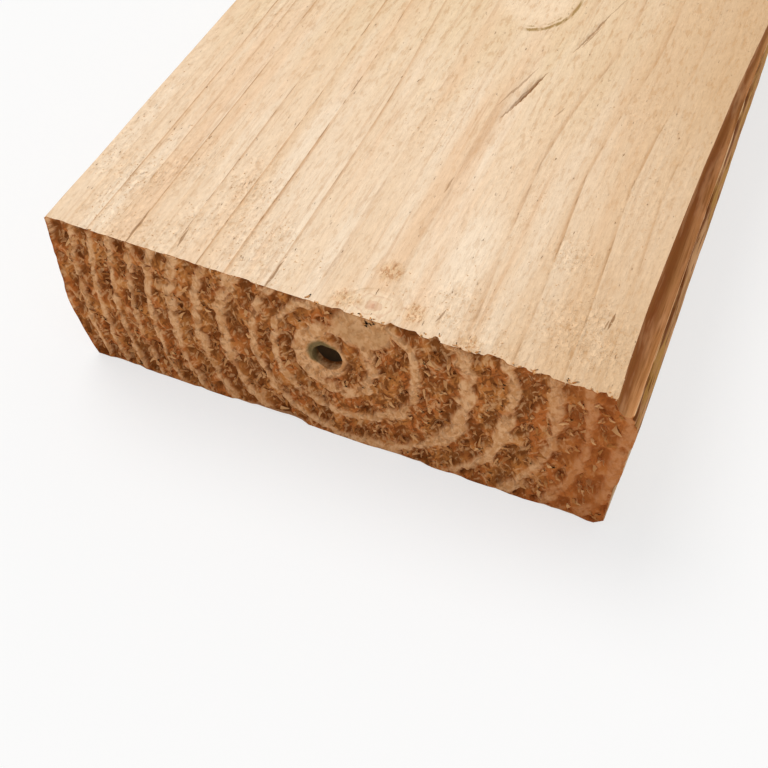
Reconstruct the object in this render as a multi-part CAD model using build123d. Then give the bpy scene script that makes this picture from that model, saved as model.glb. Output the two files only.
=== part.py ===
from build123d import *
import os
from dataclasses import dataclass
from math import cos, radians, sin

# A length of sawn softwood lying on its broad face, all in one piece.
# X runs across the width, Y along the grain and Z up, from the middle of the underside.
# The end with the hollow pith, the torn arris and the drying checks is the one at low Y.

# Sawn sizes
length = 1800
width = 150
thickness = 47
edge_lean = 2.0  # each edge is this much further in at the bottom face than at the top
arris_radius = 0.8  # the two upper arrises, still crisp from the saw
worn_arris_radius = 2.2  # the two lower arrises, dulled by dragging

# Wane on the lower left arris, where the log's round outside was reached
wane_on_edge = 19.0  # height that it takes up the edge at the near end
wane_on_face = 5.4  # width that it takes off the bottom face at the near end
wane_bulge = 0.7  # how far its rounded surface stands out from the straight chamfer
wane_length = 640.0  # it has died out this far from the near end

# Hollow pith in the near end, a round pit that narrows inwards
pith_right = -0.3  # to the right of the middle of the width
pith_height = 28.8  # above the bottom face
pith_mouth_radius = 3.9
pith_waist_radius = 2.7
pith_depth = 17.0

# Torn upper right arris: a sliver has come away and left a smooth gutter with a low lip outside it
tear_reach = 235.0  # from the near end to where the arris is whole again
lip_drop = 3.4  # the lip lies this far below the top face
flank_drop = 9.0  # the waney slope outside the lip meets the edge this far below the top face

# A drying check narrows to these shares of its mouth at its root
root_length_share = 0.7
root_width_share = 0.2

# How far every cutter runs past the faces that it leaves by
overrun = 4.0


@dataclass
class TearStation:
    """One cross-section of the gutter, measured in from the upper right arris."""

    from_end: float
    set_back: float
    depth: float
    lip_set_back: float


tear_stations = [
    TearStation(from_end=0.0, set_back=6.5, depth=4.2, lip_set_back=1.9),
    TearStation(from_end=30.0, set_back=7.2, depth=6.0, lip_set_back=1.9),
    TearStation(from_end=84.0, set_back=6.5, depth=5.6, lip_set_back=2.0),
    TearStation(from_end=122.0, set_back=5.0, depth=3.9, lip_set_back=2.4),
]


@dataclass
class DryingCheck:
    """A narrow split in the top face, pointed at both ends and closing downwards."""

    right: float
    from_end: float
    long: float
    wide: float
    deep: float
    turn: float  # degrees clockwise from the grain, seen from above


drying_checks = [
    DryingCheck(right=26.0, from_end=130.5, long=21.5, wide=1.2, deep=3.2, turn=11.5),
    DryingCheck(right=17.2, from_end=95.0, long=22.5, wide=1.8, deep=4.2, turn=12.5),
    DryingCheck(right=14.0, from_end=94.0, long=15.0, wide=0.9, deep=2.2, turn=12.0),
]

half_width = width / 2
near_end = -length / 2


def sawn_stick():
    """The stick as it left the saw, with both edges leaning in towards the bottom face."""
    outline = make_face(
        Polyline(
            (half_width, thickness),
            (-half_width, thickness),
            (-half_width + edge_lean, 0),
            (half_width - edge_lean, 0),
            close=True,
        )
    )
    upper = outline.vertices().group_by(Axis.Y)[-1]
    outline = fillet(upper, arris_radius)
    lower = outline.vertices().group_by(Axis.Y)[0]
    outline = fillet(lower, worn_arris_radius)
    section = Plane((0, near_end, 0), x_dir=(1, 0, 0), z_dir=(0, -1, 0)) * outline
    return extrude(section, amount=-length)


def across(x, y, z):
    """A point given from the near end, as the cross-sections are drawn."""
    return Vector(x, near_end + y, z)


def wane_section(y):
    """The waste outside the log's round surface; it slides off the arris with distance."""
    slide = wane_on_face * y / wane_length
    lean_there = edge_lean * (1 - wane_on_edge / thickness)
    on_edge = across(-half_width + lean_there - slide, y, wane_on_edge)
    on_face = across(-half_width + edge_lean + wane_on_face - slide, y, 0)
    chord = on_edge - on_face
    outwards = Vector(-chord.Z, 0, chord.X).normalized()
    if outwards.X > 0:
        outwards = -outwards
    run = chord.normalized() * overrun
    crown = (on_edge + on_face) * 0.5 + outwards * wane_bulge
    above = on_edge + run + outwards * wane_bulge * 2
    above_outside = above + outwards * (overrun + wane_on_face)
    below_outside = on_face - run * 2 + outwards * (overrun + wane_on_face)
    edges = [
        ThreePointArc(on_face, crown, on_edge),
        Line(on_edge, above),
        Line(above, above_outside),
        Line(above_outside, below_outside),
        Line(below_outside, on_face),
    ]
    return make_face(edges)


def wane_cutter():
    """The rounded waste lofted straight from the near end to where the wane has died out."""
    return loft([wane_section(-overrun), wane_section(wane_length)], ruled=True)


def tear_section(from_end, set_back, depth, lip_set_back):
    """The gutter's section: a steep wall, a round floor, a lip and the slope outside it."""
    wall_x = half_width - set_back
    lip_x = half_width - lip_set_back
    lip_z = thickness - lip_drop
    edge_x = half_width - edge_lean * flank_drop / thickness
    fall = (flank_drop - lip_drop) / (edge_x - lip_x)
    outside_x = half_width + overrun
    wall_foot = across(wall_x + 0.06 * set_back, from_end, thickness - 1.3 * depth)
    floor_rise = across(wall_x + 0.55 * set_back, from_end, thickness - 1.25 * depth)
    wall_top = across(wall_x, from_end, thickness)
    lip = across(lip_x, from_end, lip_z)
    flank_foot = across(outside_x, from_end, lip_z - fall * (outside_x - lip_x))
    over_flank = across(outside_x, from_end, thickness + overrun)
    over_wall = across(wall_x, from_end, thickness + overrun)
    edges = [
        Line(over_wall, wall_top),
        Bezier(wall_top, wall_foot, floor_rise, lip),
        Line(lip, flank_foot),
        Line(flank_foot, over_flank),
        Line(over_flank, over_wall),
    ]
    return make_face(edges)


def tear_cutter():
    """The torn-out sliver, lofted through its sections until it clears the arris."""
    first = tear_stations[0]
    last = tear_stations[-1]
    sections = [tear_section(-overrun, first.set_back, first.depth, first.lip_set_back)]
    sections += [
        tear_section(one.from_end, one.set_back, one.depth, one.lip_set_back)
        for one in tear_stations[1:]
    ]
    cleared = tear_section(tear_reach, last.set_back, last.depth, last.lip_set_back)
    sections.append(Pos(last.set_back + arris_radius, 0, lip_drop) * cleared)
    return loft(sections)


def pith_cutter():
    """The decayed pith, a round-bottomed pit turned about the pith's own line."""
    mouth = (pith_mouth_radius, 0)
    waist = (pith_waist_radius, pith_depth * 0.55)
    bottom = (0, pith_depth)
    outline = make_face(
        [
            Line((0, -overrun), (pith_mouth_radius, -overrun)),
            Line((pith_mouth_radius, -overrun), mouth),
            Spline(mouth, waist, bottom, tangents=[(-0.35, 1), (-1, 0)]),
            Line(bottom, (0, -overrun)),
        ]
    )
    pit = revolve(outline, Axis.Y)
    return Pos(pith_right, near_end, pith_height) * pit


def check_lens(check, long, wide, z):
    """A pointed lens in plan, level at height z and turned along the split."""
    turn = radians(check.turn)
    half = Vector(sin(turn), cos(turn)) * (long / 2)
    side = Vector(cos(turn), -sin(turn)) * (wide / 2)
    middle = Vector(check.right, near_end + check.from_end, z)
    right_lip = ThreePointArc(middle - half, middle + side, middle + half)
    left_lip = ThreePointArc(middle + half, middle - side, middle - half)
    return make_face([right_lip, left_lip])


def check_cutter(check):
    """The split's two lips, closing downwards to a shorter and nearly shut root."""
    above = check_lens(check, check.long, check.wide, thickness + overrun)
    mouth = check_lens(check, check.long, check.wide, thickness)
    root = check_lens(
        check, check.long * root_length_share, check.wide * root_width_share, thickness - check.deep
    )
    return loft([above, mouth, root], ruled=True)


def build_plank():
    """The stick with its wane, torn arris, hollow pith and drying checks."""
    plank = sawn_stick() - wane_cutter() - tear_cutter() - pith_cutter()
    for check in drying_checks:
        plank -= check_cutter(check)
    return plank


plank = build_plank()
os.makedirs("parts", exist_ok=True)
export_step(plank, "parts/plank.step")
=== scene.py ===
"""A length of sawn softwood, dressed over its CAD solid and lit as for a catalogue.

Sizes inside the classes are in millimetres, in the frame's own directions: X across the
width, Y along the grain and Z up. They become metres where a mesh is made.
"""

import logging
from dataclasses import dataclass, field
from enum import Enum
from math import cos, pi, radians, sin
from typing import Any, Optional, Sequence, Union

import bpy
import numpy as np
from mathutils import Matrix, Vector
from mathutils.geometry import delaunay_2d_cdt


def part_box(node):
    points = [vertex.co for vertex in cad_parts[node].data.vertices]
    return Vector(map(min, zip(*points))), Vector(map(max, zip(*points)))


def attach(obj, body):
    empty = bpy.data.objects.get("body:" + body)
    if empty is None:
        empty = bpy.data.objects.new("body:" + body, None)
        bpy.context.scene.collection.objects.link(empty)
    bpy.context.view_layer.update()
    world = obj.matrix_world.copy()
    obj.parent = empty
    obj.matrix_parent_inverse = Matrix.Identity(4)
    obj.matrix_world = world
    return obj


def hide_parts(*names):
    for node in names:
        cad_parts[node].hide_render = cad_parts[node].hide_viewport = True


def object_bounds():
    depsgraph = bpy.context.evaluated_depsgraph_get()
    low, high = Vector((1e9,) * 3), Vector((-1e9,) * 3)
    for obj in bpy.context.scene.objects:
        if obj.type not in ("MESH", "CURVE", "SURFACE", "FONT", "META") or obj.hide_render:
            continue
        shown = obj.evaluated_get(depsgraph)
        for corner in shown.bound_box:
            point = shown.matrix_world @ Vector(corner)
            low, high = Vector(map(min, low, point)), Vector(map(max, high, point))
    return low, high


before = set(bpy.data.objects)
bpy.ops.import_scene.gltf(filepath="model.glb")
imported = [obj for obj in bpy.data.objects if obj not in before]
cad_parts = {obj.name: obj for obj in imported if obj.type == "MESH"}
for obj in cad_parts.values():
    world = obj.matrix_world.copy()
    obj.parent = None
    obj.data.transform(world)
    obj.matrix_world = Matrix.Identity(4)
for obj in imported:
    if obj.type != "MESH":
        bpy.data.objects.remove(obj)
CAD_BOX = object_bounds()

MM = 0.001
LOG = logging.getLogger("plank")


class Zone(Enum):
    """The parts of the plank's skin, each with its own relief."""

    TOP_FACE = 0
    GUTTER = 1
    FLANK = 2
    RIGHT_EDGE = 3
    BOTTOM_FACE = 4
    WANE = 5
    LEFT_EDGE = 6
    NEAR_END = 7
    FAR_END = 8
    PITH = 9


# Numbers

Array = np.ndarray


def smooth_step(low: float, high: float, value: Array) -> Array:
    """A smooth rise from 0 to 1.

    Args:
        low: where the rise starts.
        high: where it ends; below low, the rise becomes a fall.
        value: the values to grade.

    Returns:
        The graded values.
    """
    share = np.clip((value - low) / (high - low), 0.0, 1.0)
    return share * share * (3.0 - 2.0 * share)


class GrainNoise:
    """Smooth random values in space from a seeded lattice, for relief and wander."""

    SIZE = 64

    def __init__(self, seed: int) -> None:
        """Draws the lattice.

        Args:
            seed: fixes the values.
        """
        self.lattice = np.random.default_rng(seed).random((self.SIZE,) * 3)

    def plain(self, points: Array, scale: Sequence[float]) -> Array:
        """One layer of noise.

        Args:
            points: places, one to a row.
            scale: the size of a lump along X, Y and Z.

        Returns:
            Values from 0 to 1.
        """
        place = points / np.asarray(scale, float)
        low = np.floor(place).astype(int)
        share = place - low
        share = share * share * (3.0 - 2.0 * share)
        total = np.zeros(len(points))
        for corner in range(8):
            step = np.array([corner & 1, corner >> 1 & 1, corner >> 2 & 1])
            index = (low + step) % self.SIZE
            weight = np.prod(np.where(step == 1, share, 1.0 - share), axis=1)
            total += weight * self.lattice[index[:, 0], index[:, 1], index[:, 2]]
        return total

    def layered(self, points: Array, scale: Sequence[float], layers: int = 3) -> Array:
        """Noise with finer layers added, each at half the size and half the strength.

        Args:
            points: places, one to a row.
            scale: the size of the largest lump along X, Y and Z.
            layers: how many layers are added up.

        Returns:
            Values from 0 to 1.
        """
        total = np.zeros(len(points))
        weight, weights = 1.0, 0.0
        for layer in range(layers):
            size = np.asarray(scale, float) / 2.0**layer
            total += weight * self.plain(points + 17.3 * layer, size)
            weights += weight
            weight *= 0.5
        return total / weights


# The wood


@dataclass(frozen=True)
class Knot:
    """A branch cut through by a broad face; the grain flows round it."""

    right: float
    along: float
    half_width: float
    half_length: float
    push: float
    on_top: bool = True
    rim: float = 0.6
    rim_turn: float = -41.0
    heart: float = 0.5


@dataclass(frozen=True)
class GrowthRings:
    """The log's rings, nested circles whose centres drift to the right as they widen."""

    near: float
    pith_right: float = -0.3
    pith_height: float = 28.8
    # Radius of each year's last wood, where its circle is centred across the width, and
    # how boldly its line shows on the faces
    rings: tuple[tuple[float, float, float], ...] = (
        (0.0, 0.4, 0.0),
        (12.0, 2.5, 0.30),
        (20.0, 4.2, 0.22),
        (29.3, 7.8, 0.45),
        (38.8, 8.3, 0.80),
        (47.3, 10.6, 0.90),
        (54.7, 10.6, 0.55),
        (61.9, 12.2, 0.20),
        (68.3, 13.7, 0.70),
        (74.8, 15.0, 0.40),
        (80.7, 16.0, 0.75),
        (87.2, 17.3, 0.12),
        (94.2, 18.5, 0.10),
        (102.0, 20.0, 0.50),
    )
    taper: float = 4.5e-5
    # How far the grain right of the pith sways to the right: from the near end, shift
    sway: tuple[tuple[float, float], ...] = (
        (0.0, 0.8),
        (22.0, 0.5),
        (45.0, -0.7),
        (68.0, -2.4),
        (92.0, -2.0),
        (124.0, 0.0),
        (160.0, 0.6),
        (260.0, 0.0),
    )
    knots: tuple[Knot, ...] = (
        Knot(6.0, 143.0, 12.6, 19.6, 12.8, rim=1.0, rim_turn=-40.0, heart=0.0),
        Knot(9.6, 4.6, 6.6, 5.6, 5.5, rim=0.25, rim_turn=130.0, heart=1.0),
        Knot(-14.0, 478.0, 7.5, 13.0, 11.0, rim_turn=160.0),
        Knot(19.0, 512.0, 4.6, 7.5, 7.0, rim_turn=80.0),
        Knot(-6.0, 866.0, 9.0, 16.0, 13.0, rim=0.8, rim_turn=-70.0),
        Knot(24.0, 1195.0, 6.6, 11.5, 9.5, rim_turn=20.0),
        Knot(-21.0, 1236.0, 4.2, 7.0, 6.0, rim_turn=-140.0),
        Knot(2.0, 1604.0, 9.6, 17.0, 13.5, rim=0.8, rim_turn=110.0),
        Knot(-9.0, 298.0, 8.0, 13.5, 12.0, False, rim_turn=60.0),
        Knot(17.0, 705.0, 9.5, 17.0, 13.0, False, rim_turn=-120.0),
        Knot(-18.0, 1040.0, 6.0, 10.0, 9.0, False),
        Knot(6.0, 1422.0, 10.0, 18.0, 14.0, False, rim=0.8, rim_turn=140.0),
    )

    def undisturbed(self, points: Array, noise: GrainNoise) -> Array:
        """Where each point would lie in a straight, knot-free log.

        Args:
            points: places in the plank.
            noise: makes the grain wander.

        Returns:
            The places with taper, wander and the flow round knots taken out.
        """
        along = points[:, 1] - self.near
        grown = 1.0 + self.taper * along
        right = (points[:, 0] - self.pith_right) * grown + self.pith_right
        height = (points[:, 2] - self.pith_height) * grown + self.pith_height
        calm = 0.35 + 0.65 * smooth_step(130.0, 420.0, along)
        slow = noise.layered(points, (70.0, 190.0, 70.0), 2) - 0.5
        quick = noise.layered(points + 400.0, (26.0, 60.0, 26.0), 2) - 0.5
        right = right + calm * (7.0 * slow + 1.6 * quick)
        sway = noise.layered(points + 900.0, (90.0, 260.0, 90.0), 2) - 0.5
        height = height + calm * 6.0 * sway
        bend = np.interp(along, *zip(*self.sway))
        right = right - bend * smooth_step(12.0, 34.0, points[:, 0])
        for knot in self.knots:
            up = 1 if knot.on_top else -1
            face = smooth_step(0.0, 18.0, (points[:, 2] - self.pith_height) * up)
            aside = points[:, 0] - knot.right
            ahead = (along - knot.along) * knot.half_width / knot.half_length
            left_calm = 0.35 + 0.65 * smooth_step(-3.0 * knot.half_width, 0.0, aside)
            gap = np.maximum(aside**2 + ahead**2, knot.push**2)
            right = right - face * left_calm * knot.push**2 * aside / gap
        return np.stack([right, points[:, 1], height], axis=1)

    def age(self, points: Array, noise: GrainNoise) -> Array:
        """How many years the log had grown at each point; a whole number is a year's end.

        Args:
            points: places in the plank.
            noise: makes the grain wander.

        Returns:
            Years, from 0 at the pith.
        """
        straight = self.undisturbed(points, noise)
        table = np.array(self.rings)
        reach = np.hypot(straight[:, :1] - table[None, :, 1], straight[:, 2:] - self.pith_height)
        outside = reach - table[None, :, 0]
        last = np.clip((outside > 0).sum(axis=1) - 1, 0, len(table) - 2)
        rows = np.arange(len(points))
        inner = outside[rows, last]
        outer = outside[rows, last + 1]
        return last + np.clip(inner / np.maximum(inner - outer, 1e-6), 0.0, 1.0)

    def off_pith(self, points: Array) -> Array:
        """How far each point is from the pith's line."""
        return np.hypot(points[:, 0] - self.pith_right, points[:, 2] - self.pith_height)

    def boldness(self, age: Array) -> Array:
        """How boldly the year lines nearest to each point show."""
        return np.interp(age, np.arange(len(self.rings)), [one[2] for one in self.rings])

    def knot_marks(self, points: Array) -> tuple[Array, Array, Array]:
        """How near each point is to a knot, and how dark that knot's rim and heart are.

        Args:
            points: places in the plank.

        Returns:
            The distance from the nearest knot's middle in half widths, up to 4, so that
            below 1 the point lies inside the knot; the share of dark rim on the point's
            side of the knot; and the strength of the knot's heart.
        """
        nearest = np.full(len(points), 4.0)
        rim = np.zeros(len(points))
        heart = np.zeros(len(points))
        along = points[:, 1] - self.near
        for knot in self.knots:
            off_face = (points[:, 2] < self.pith_height + 9.0) == knot.on_top
            aside = (points[:, 0] - knot.right) / knot.half_width
            ahead = (along - knot.along) / knot.half_length
            reach = np.hypot(aside, ahead) + 4.0 * off_face
            turn = radians(knot.rim_turn)
            facing = (aside * cos(turn) + ahead * sin(turn)) / np.maximum(reach, 0.05)
            mine = knot.rim * smooth_step(0.60, 0.80, facing)
            rim = np.where(reach < nearest, mine, rim)
            heart = np.where(reach < nearest, knot.heart, heart)
            nearest = np.minimum(nearest, reach)
        return nearest, rim, heart


# The shape


@dataclass(frozen=True)
class TearStation:
    """One cross-section of the torn arris, measured in from where the arris would be."""

    from_end: float
    set_back: float
    depth: float
    lip_set_back: float
    lip_drop: float


@dataclass(frozen=True)
class DryingCheck:
    """A narrow split in the top face, pointed at both ends."""

    right: float
    from_end: float
    long: float
    wide: float
    deep: float
    turn: float

    def depth(self, right: Array, from_end: Array) -> Array:
        """How deep the split is below each point of the top face.

        Args:
            right: places across the width.
            from_end: distances from the near end.

        Returns:
            Depths, 0 outside the split.
        """
        turn = radians(self.turn)
        aside = (right - self.right) * cos(turn) - (from_end - self.from_end) * sin(turn)
        ahead = (right - self.right) * sin(turn) + (from_end - self.from_end) * cos(turn)
        half = self.long / 2
        fullness = np.clip(1.0 - (ahead / half) ** 2, 0.0, 1.0)
        share = aside / np.maximum(self.wide / 2 * fullness, 1e-3)
        slope = np.where(share < 0.4, (share + 1.0) / 1.4, (1.0 - share) / 0.6)
        return self.deep * np.clip(slope, 0.0, 1.0) * fullness


@dataclass
class PlankSection:
    """The plank's cross-section as a loop of points, at any distance from the near end."""

    half_width: float
    thickness: float
    edge_lean: float = 2.0
    arris_radius: float = 0.8
    worn_arris_radius: float = 2.2
    wane_on_edge: float = 19.0
    wane_on_face: float = 5.4
    wane_bulge: float = 0.7
    wane_length: float = 640.0
    flank_drop: float = 9.0
    tear: tuple[TearStation, ...] = (
        TearStation(0.0, 6.4, 4.2, 2.3, 3.4),
        TearStation(10.0, 6.9, 4.9, 2.3, 3.4),
        TearStation(30.0, 7.2, 6.0, 2.3, 3.4),
        TearStation(46.0, 7.0, 6.0, 2.3, 3.4),
        TearStation(84.0, 6.3, 5.6, 2.3, 3.4),
        TearStation(122.0, 5.0, 3.9, 2.4, 3.4),
        TearStation(155.0, 3.1, 2.2, 1.5, 2.6),
        TearStation(190.0, 2.0, 1.2, 0.6, 1.6),
        TearStation(235.0, 0.8, 0.45, 0.0, 0.8),
    )
    # Points along each stretch of the finest loop; coarser loops keep every second one
    counts: dict[Zone, int] = field(
        default_factory=lambda: {
            Zone.TOP_FACE: 280,
            Zone.GUTTER: 28,
            Zone.FLANK: 16,
            Zone.RIGHT_EDGE: 60,
            Zone.BOTTOM_FACE: 76,
            Zone.WANE: 16,
            Zone.LEFT_EDGE: 36,
        }
    )
    # The top face has closer lines here, where the drying checks are
    fine_from: float = 11.0
    fine_to: float = 33.0
    fine_gain: float = 2.3

    def _tear_at(self, from_end: Array, name: str) -> Array:
        """One size of the torn arris at each station."""
        where = [one.from_end for one in self.tear]
        return np.interp(from_end, where, [getattr(one, name) for one in self.tear])

    def _edge_in(self, height: Array) -> Array:
        """How far the leaning edge is in from the full half width at a height."""
        return self.edge_lean * (1.0 - height / self.thickness)

    def _top(self, from_end: Array, step: int) -> Array:
        """The top face's points, from the left arris to the torn one.

        Args:
            from_end: distances from the near end, in millimetres.
            step: 1 for every point, 2 for every second one, and so on.

        Returns:
            For each distance, places in the cross-section.
        """
        count = self.counts[Zone.TOP_FACE] // step
        lines = np.linspace(-self.half_width, self.half_width, 2001)
        inside = (lines > self.fine_from) & (lines < self.fine_to)
        spread = np.cumsum(np.where(inside, self.fine_gain, 1.0))
        spread = (spread - spread[0]) / (spread[-1] - spread[0])
        share = np.interp(np.arange(count) / count, spread, (lines / self.half_width + 1) / 2)
        start = -self.half_width + self.arris_radius
        stop = self.half_width - self._tear_at(from_end, "set_back")
        right = start + share[None, :] * (stop - start)[:, None]
        return np.stack([right, np.full_like(right, self.thickness)], axis=2)

    def _gutter(self, from_end: Array, step: int) -> Array:
        """The steep wall and round floor left by the sliver, up to its lip.

        Args:
            from_end: distances from the near end, in millimetres.
            step: 1 for every point, 2 for every second one, and so on.

        Returns:
            For each distance, places in the cross-section.
        """
        count = self.counts[Zone.GUTTER] // step
        share = (np.arange(count) / count)[None, :]
        back = self._tear_at(from_end, "set_back")[:, None]
        deep = self._tear_at(from_end, "depth")[:, None]
        lip = self._tear_at(from_end, "lip_set_back")[:, None]
        drop = self._tear_at(from_end, "lip_drop")[:, None]
        wall = self.half_width - back
        rights = (wall, wall + 0.06 * back, wall + 0.55 * back, self.half_width - lip)
        heights = (0.0 * deep, -1.3 * deep, -1.25 * deep, -drop)
        weights = (
            (1 - share) ** 3,
            3 * share * (1 - share) ** 2,
            3 * share**2 * (1 - share),
            share**3,
        )
        right = sum(weight * one for weight, one in zip(weights, rights))
        height = self.thickness + sum(weight * one for weight, one in zip(weights, heights))
        return np.stack([right, height], axis=2)

    def _run(self, start: Array, stop: Array, zone: Zone, step: int, bulge: Any = 0.0) -> Array:
        """Points along a straight or evenly bowed stretch of the loop.

        Args:
            start: its first point at each station.
            stop: its last point at each station.
            zone: gives the number of points.
            step: how much coarser the loop is than the finest.
            bulge: how far its middle stands out to the left of the way from start to stop.

        Returns:
            The points, without the last.
        """
        count = self.counts[zone] // step
        share = (np.arange(count) / count)[None, :, None]
        chord = stop - start
        length = np.linalg.norm(chord, axis=1, keepdims=True)
        left = np.stack([-chord[:, 1], chord[:, 0]], axis=1) / length
        bow = np.reshape(np.asarray(bulge) * np.ones(len(start)), (-1, 1, 1))
        bowed = 4 * bow * share * (1 - share) * left[:, None]
        return start[:, None] + share * chord[:, None] + bowed

    def loop(self, from_end: Array, step: int) -> tuple[Array, Array]:
        """The closed loop at each station, clockwise as seen from the near end.

        Args:
            from_end: the stations' distances from the near end.
            step: 1 for the finest loop, 2 for half as many points, and so on.

        Returns:
            Points as (station, point, XZ), and the zone number of each point.
        """
        ones = np.ones(len(from_end))
        lip = np.stack(
            [
                self.half_width - self._tear_at(from_end, "lip_set_back"),
                self.thickness - self._tear_at(from_end, "lip_drop"),
            ],
            axis=1,
        )
        foot_z = self.thickness - self.flank_drop
        foot = np.stack([ones * (self.half_width - self._edge_in(foot_z)), ones * foot_z], axis=1)
        round_z = self.worn_arris_radius
        edge_x = self.half_width - self._edge_in(round_z)
        edge_end = np.stack([ones * edge_x, ones * round_z], axis=1)
        face_start = np.stack(
            [ones * (self.half_width - self.edge_lean - self.worn_arris_radius), 0.0 * ones], axis=1
        )
        left = 1.0 - from_end / self.wane_length
        wane_width = np.maximum(self.wane_on_face * left, self.worn_arris_radius)
        wane_height = np.maximum(self.wane_on_edge * left, self.worn_arris_radius)
        on_face = np.stack([-self.half_width + self.edge_lean + wane_width, 0.0 * ones], axis=1)
        on_edge = np.stack([-self.half_width + self._edge_in(wane_height), wane_height], axis=1)
        top_z = self.thickness - self.arris_radius
        edge_top = np.stack([ones * -self.half_width, ones * top_z], axis=1)
        pieces = [
            (Zone.TOP_FACE, self._top(from_end, step)),
            (Zone.GUTTER, self._gutter(from_end, step)),
            (Zone.FLANK, self._run(lip, foot, Zone.FLANK, step)),
            (Zone.RIGHT_EDGE, self._run(foot, edge_end, Zone.RIGHT_EDGE, step)),
            (Zone.BOTTOM_FACE, edge_end[:, None]),
            (Zone.BOTTOM_FACE, self._run(face_start, on_face, Zone.BOTTOM_FACE, step)),
            (Zone.WANE, self._run(on_face, on_edge, Zone.WANE, step, self.wane_bulge)),
            (Zone.LEFT_EDGE, self._run(on_edge, edge_top, Zone.LEFT_EDGE, step)),
            (Zone.LEFT_EDGE, edge_top[:, None]),
        ]
        points = np.concatenate([one for _, one in pieces], axis=1)
        zones = np.concatenate([np.full(one.shape[1], zone.value) for zone, one in pieces])
        return points, zones


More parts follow.
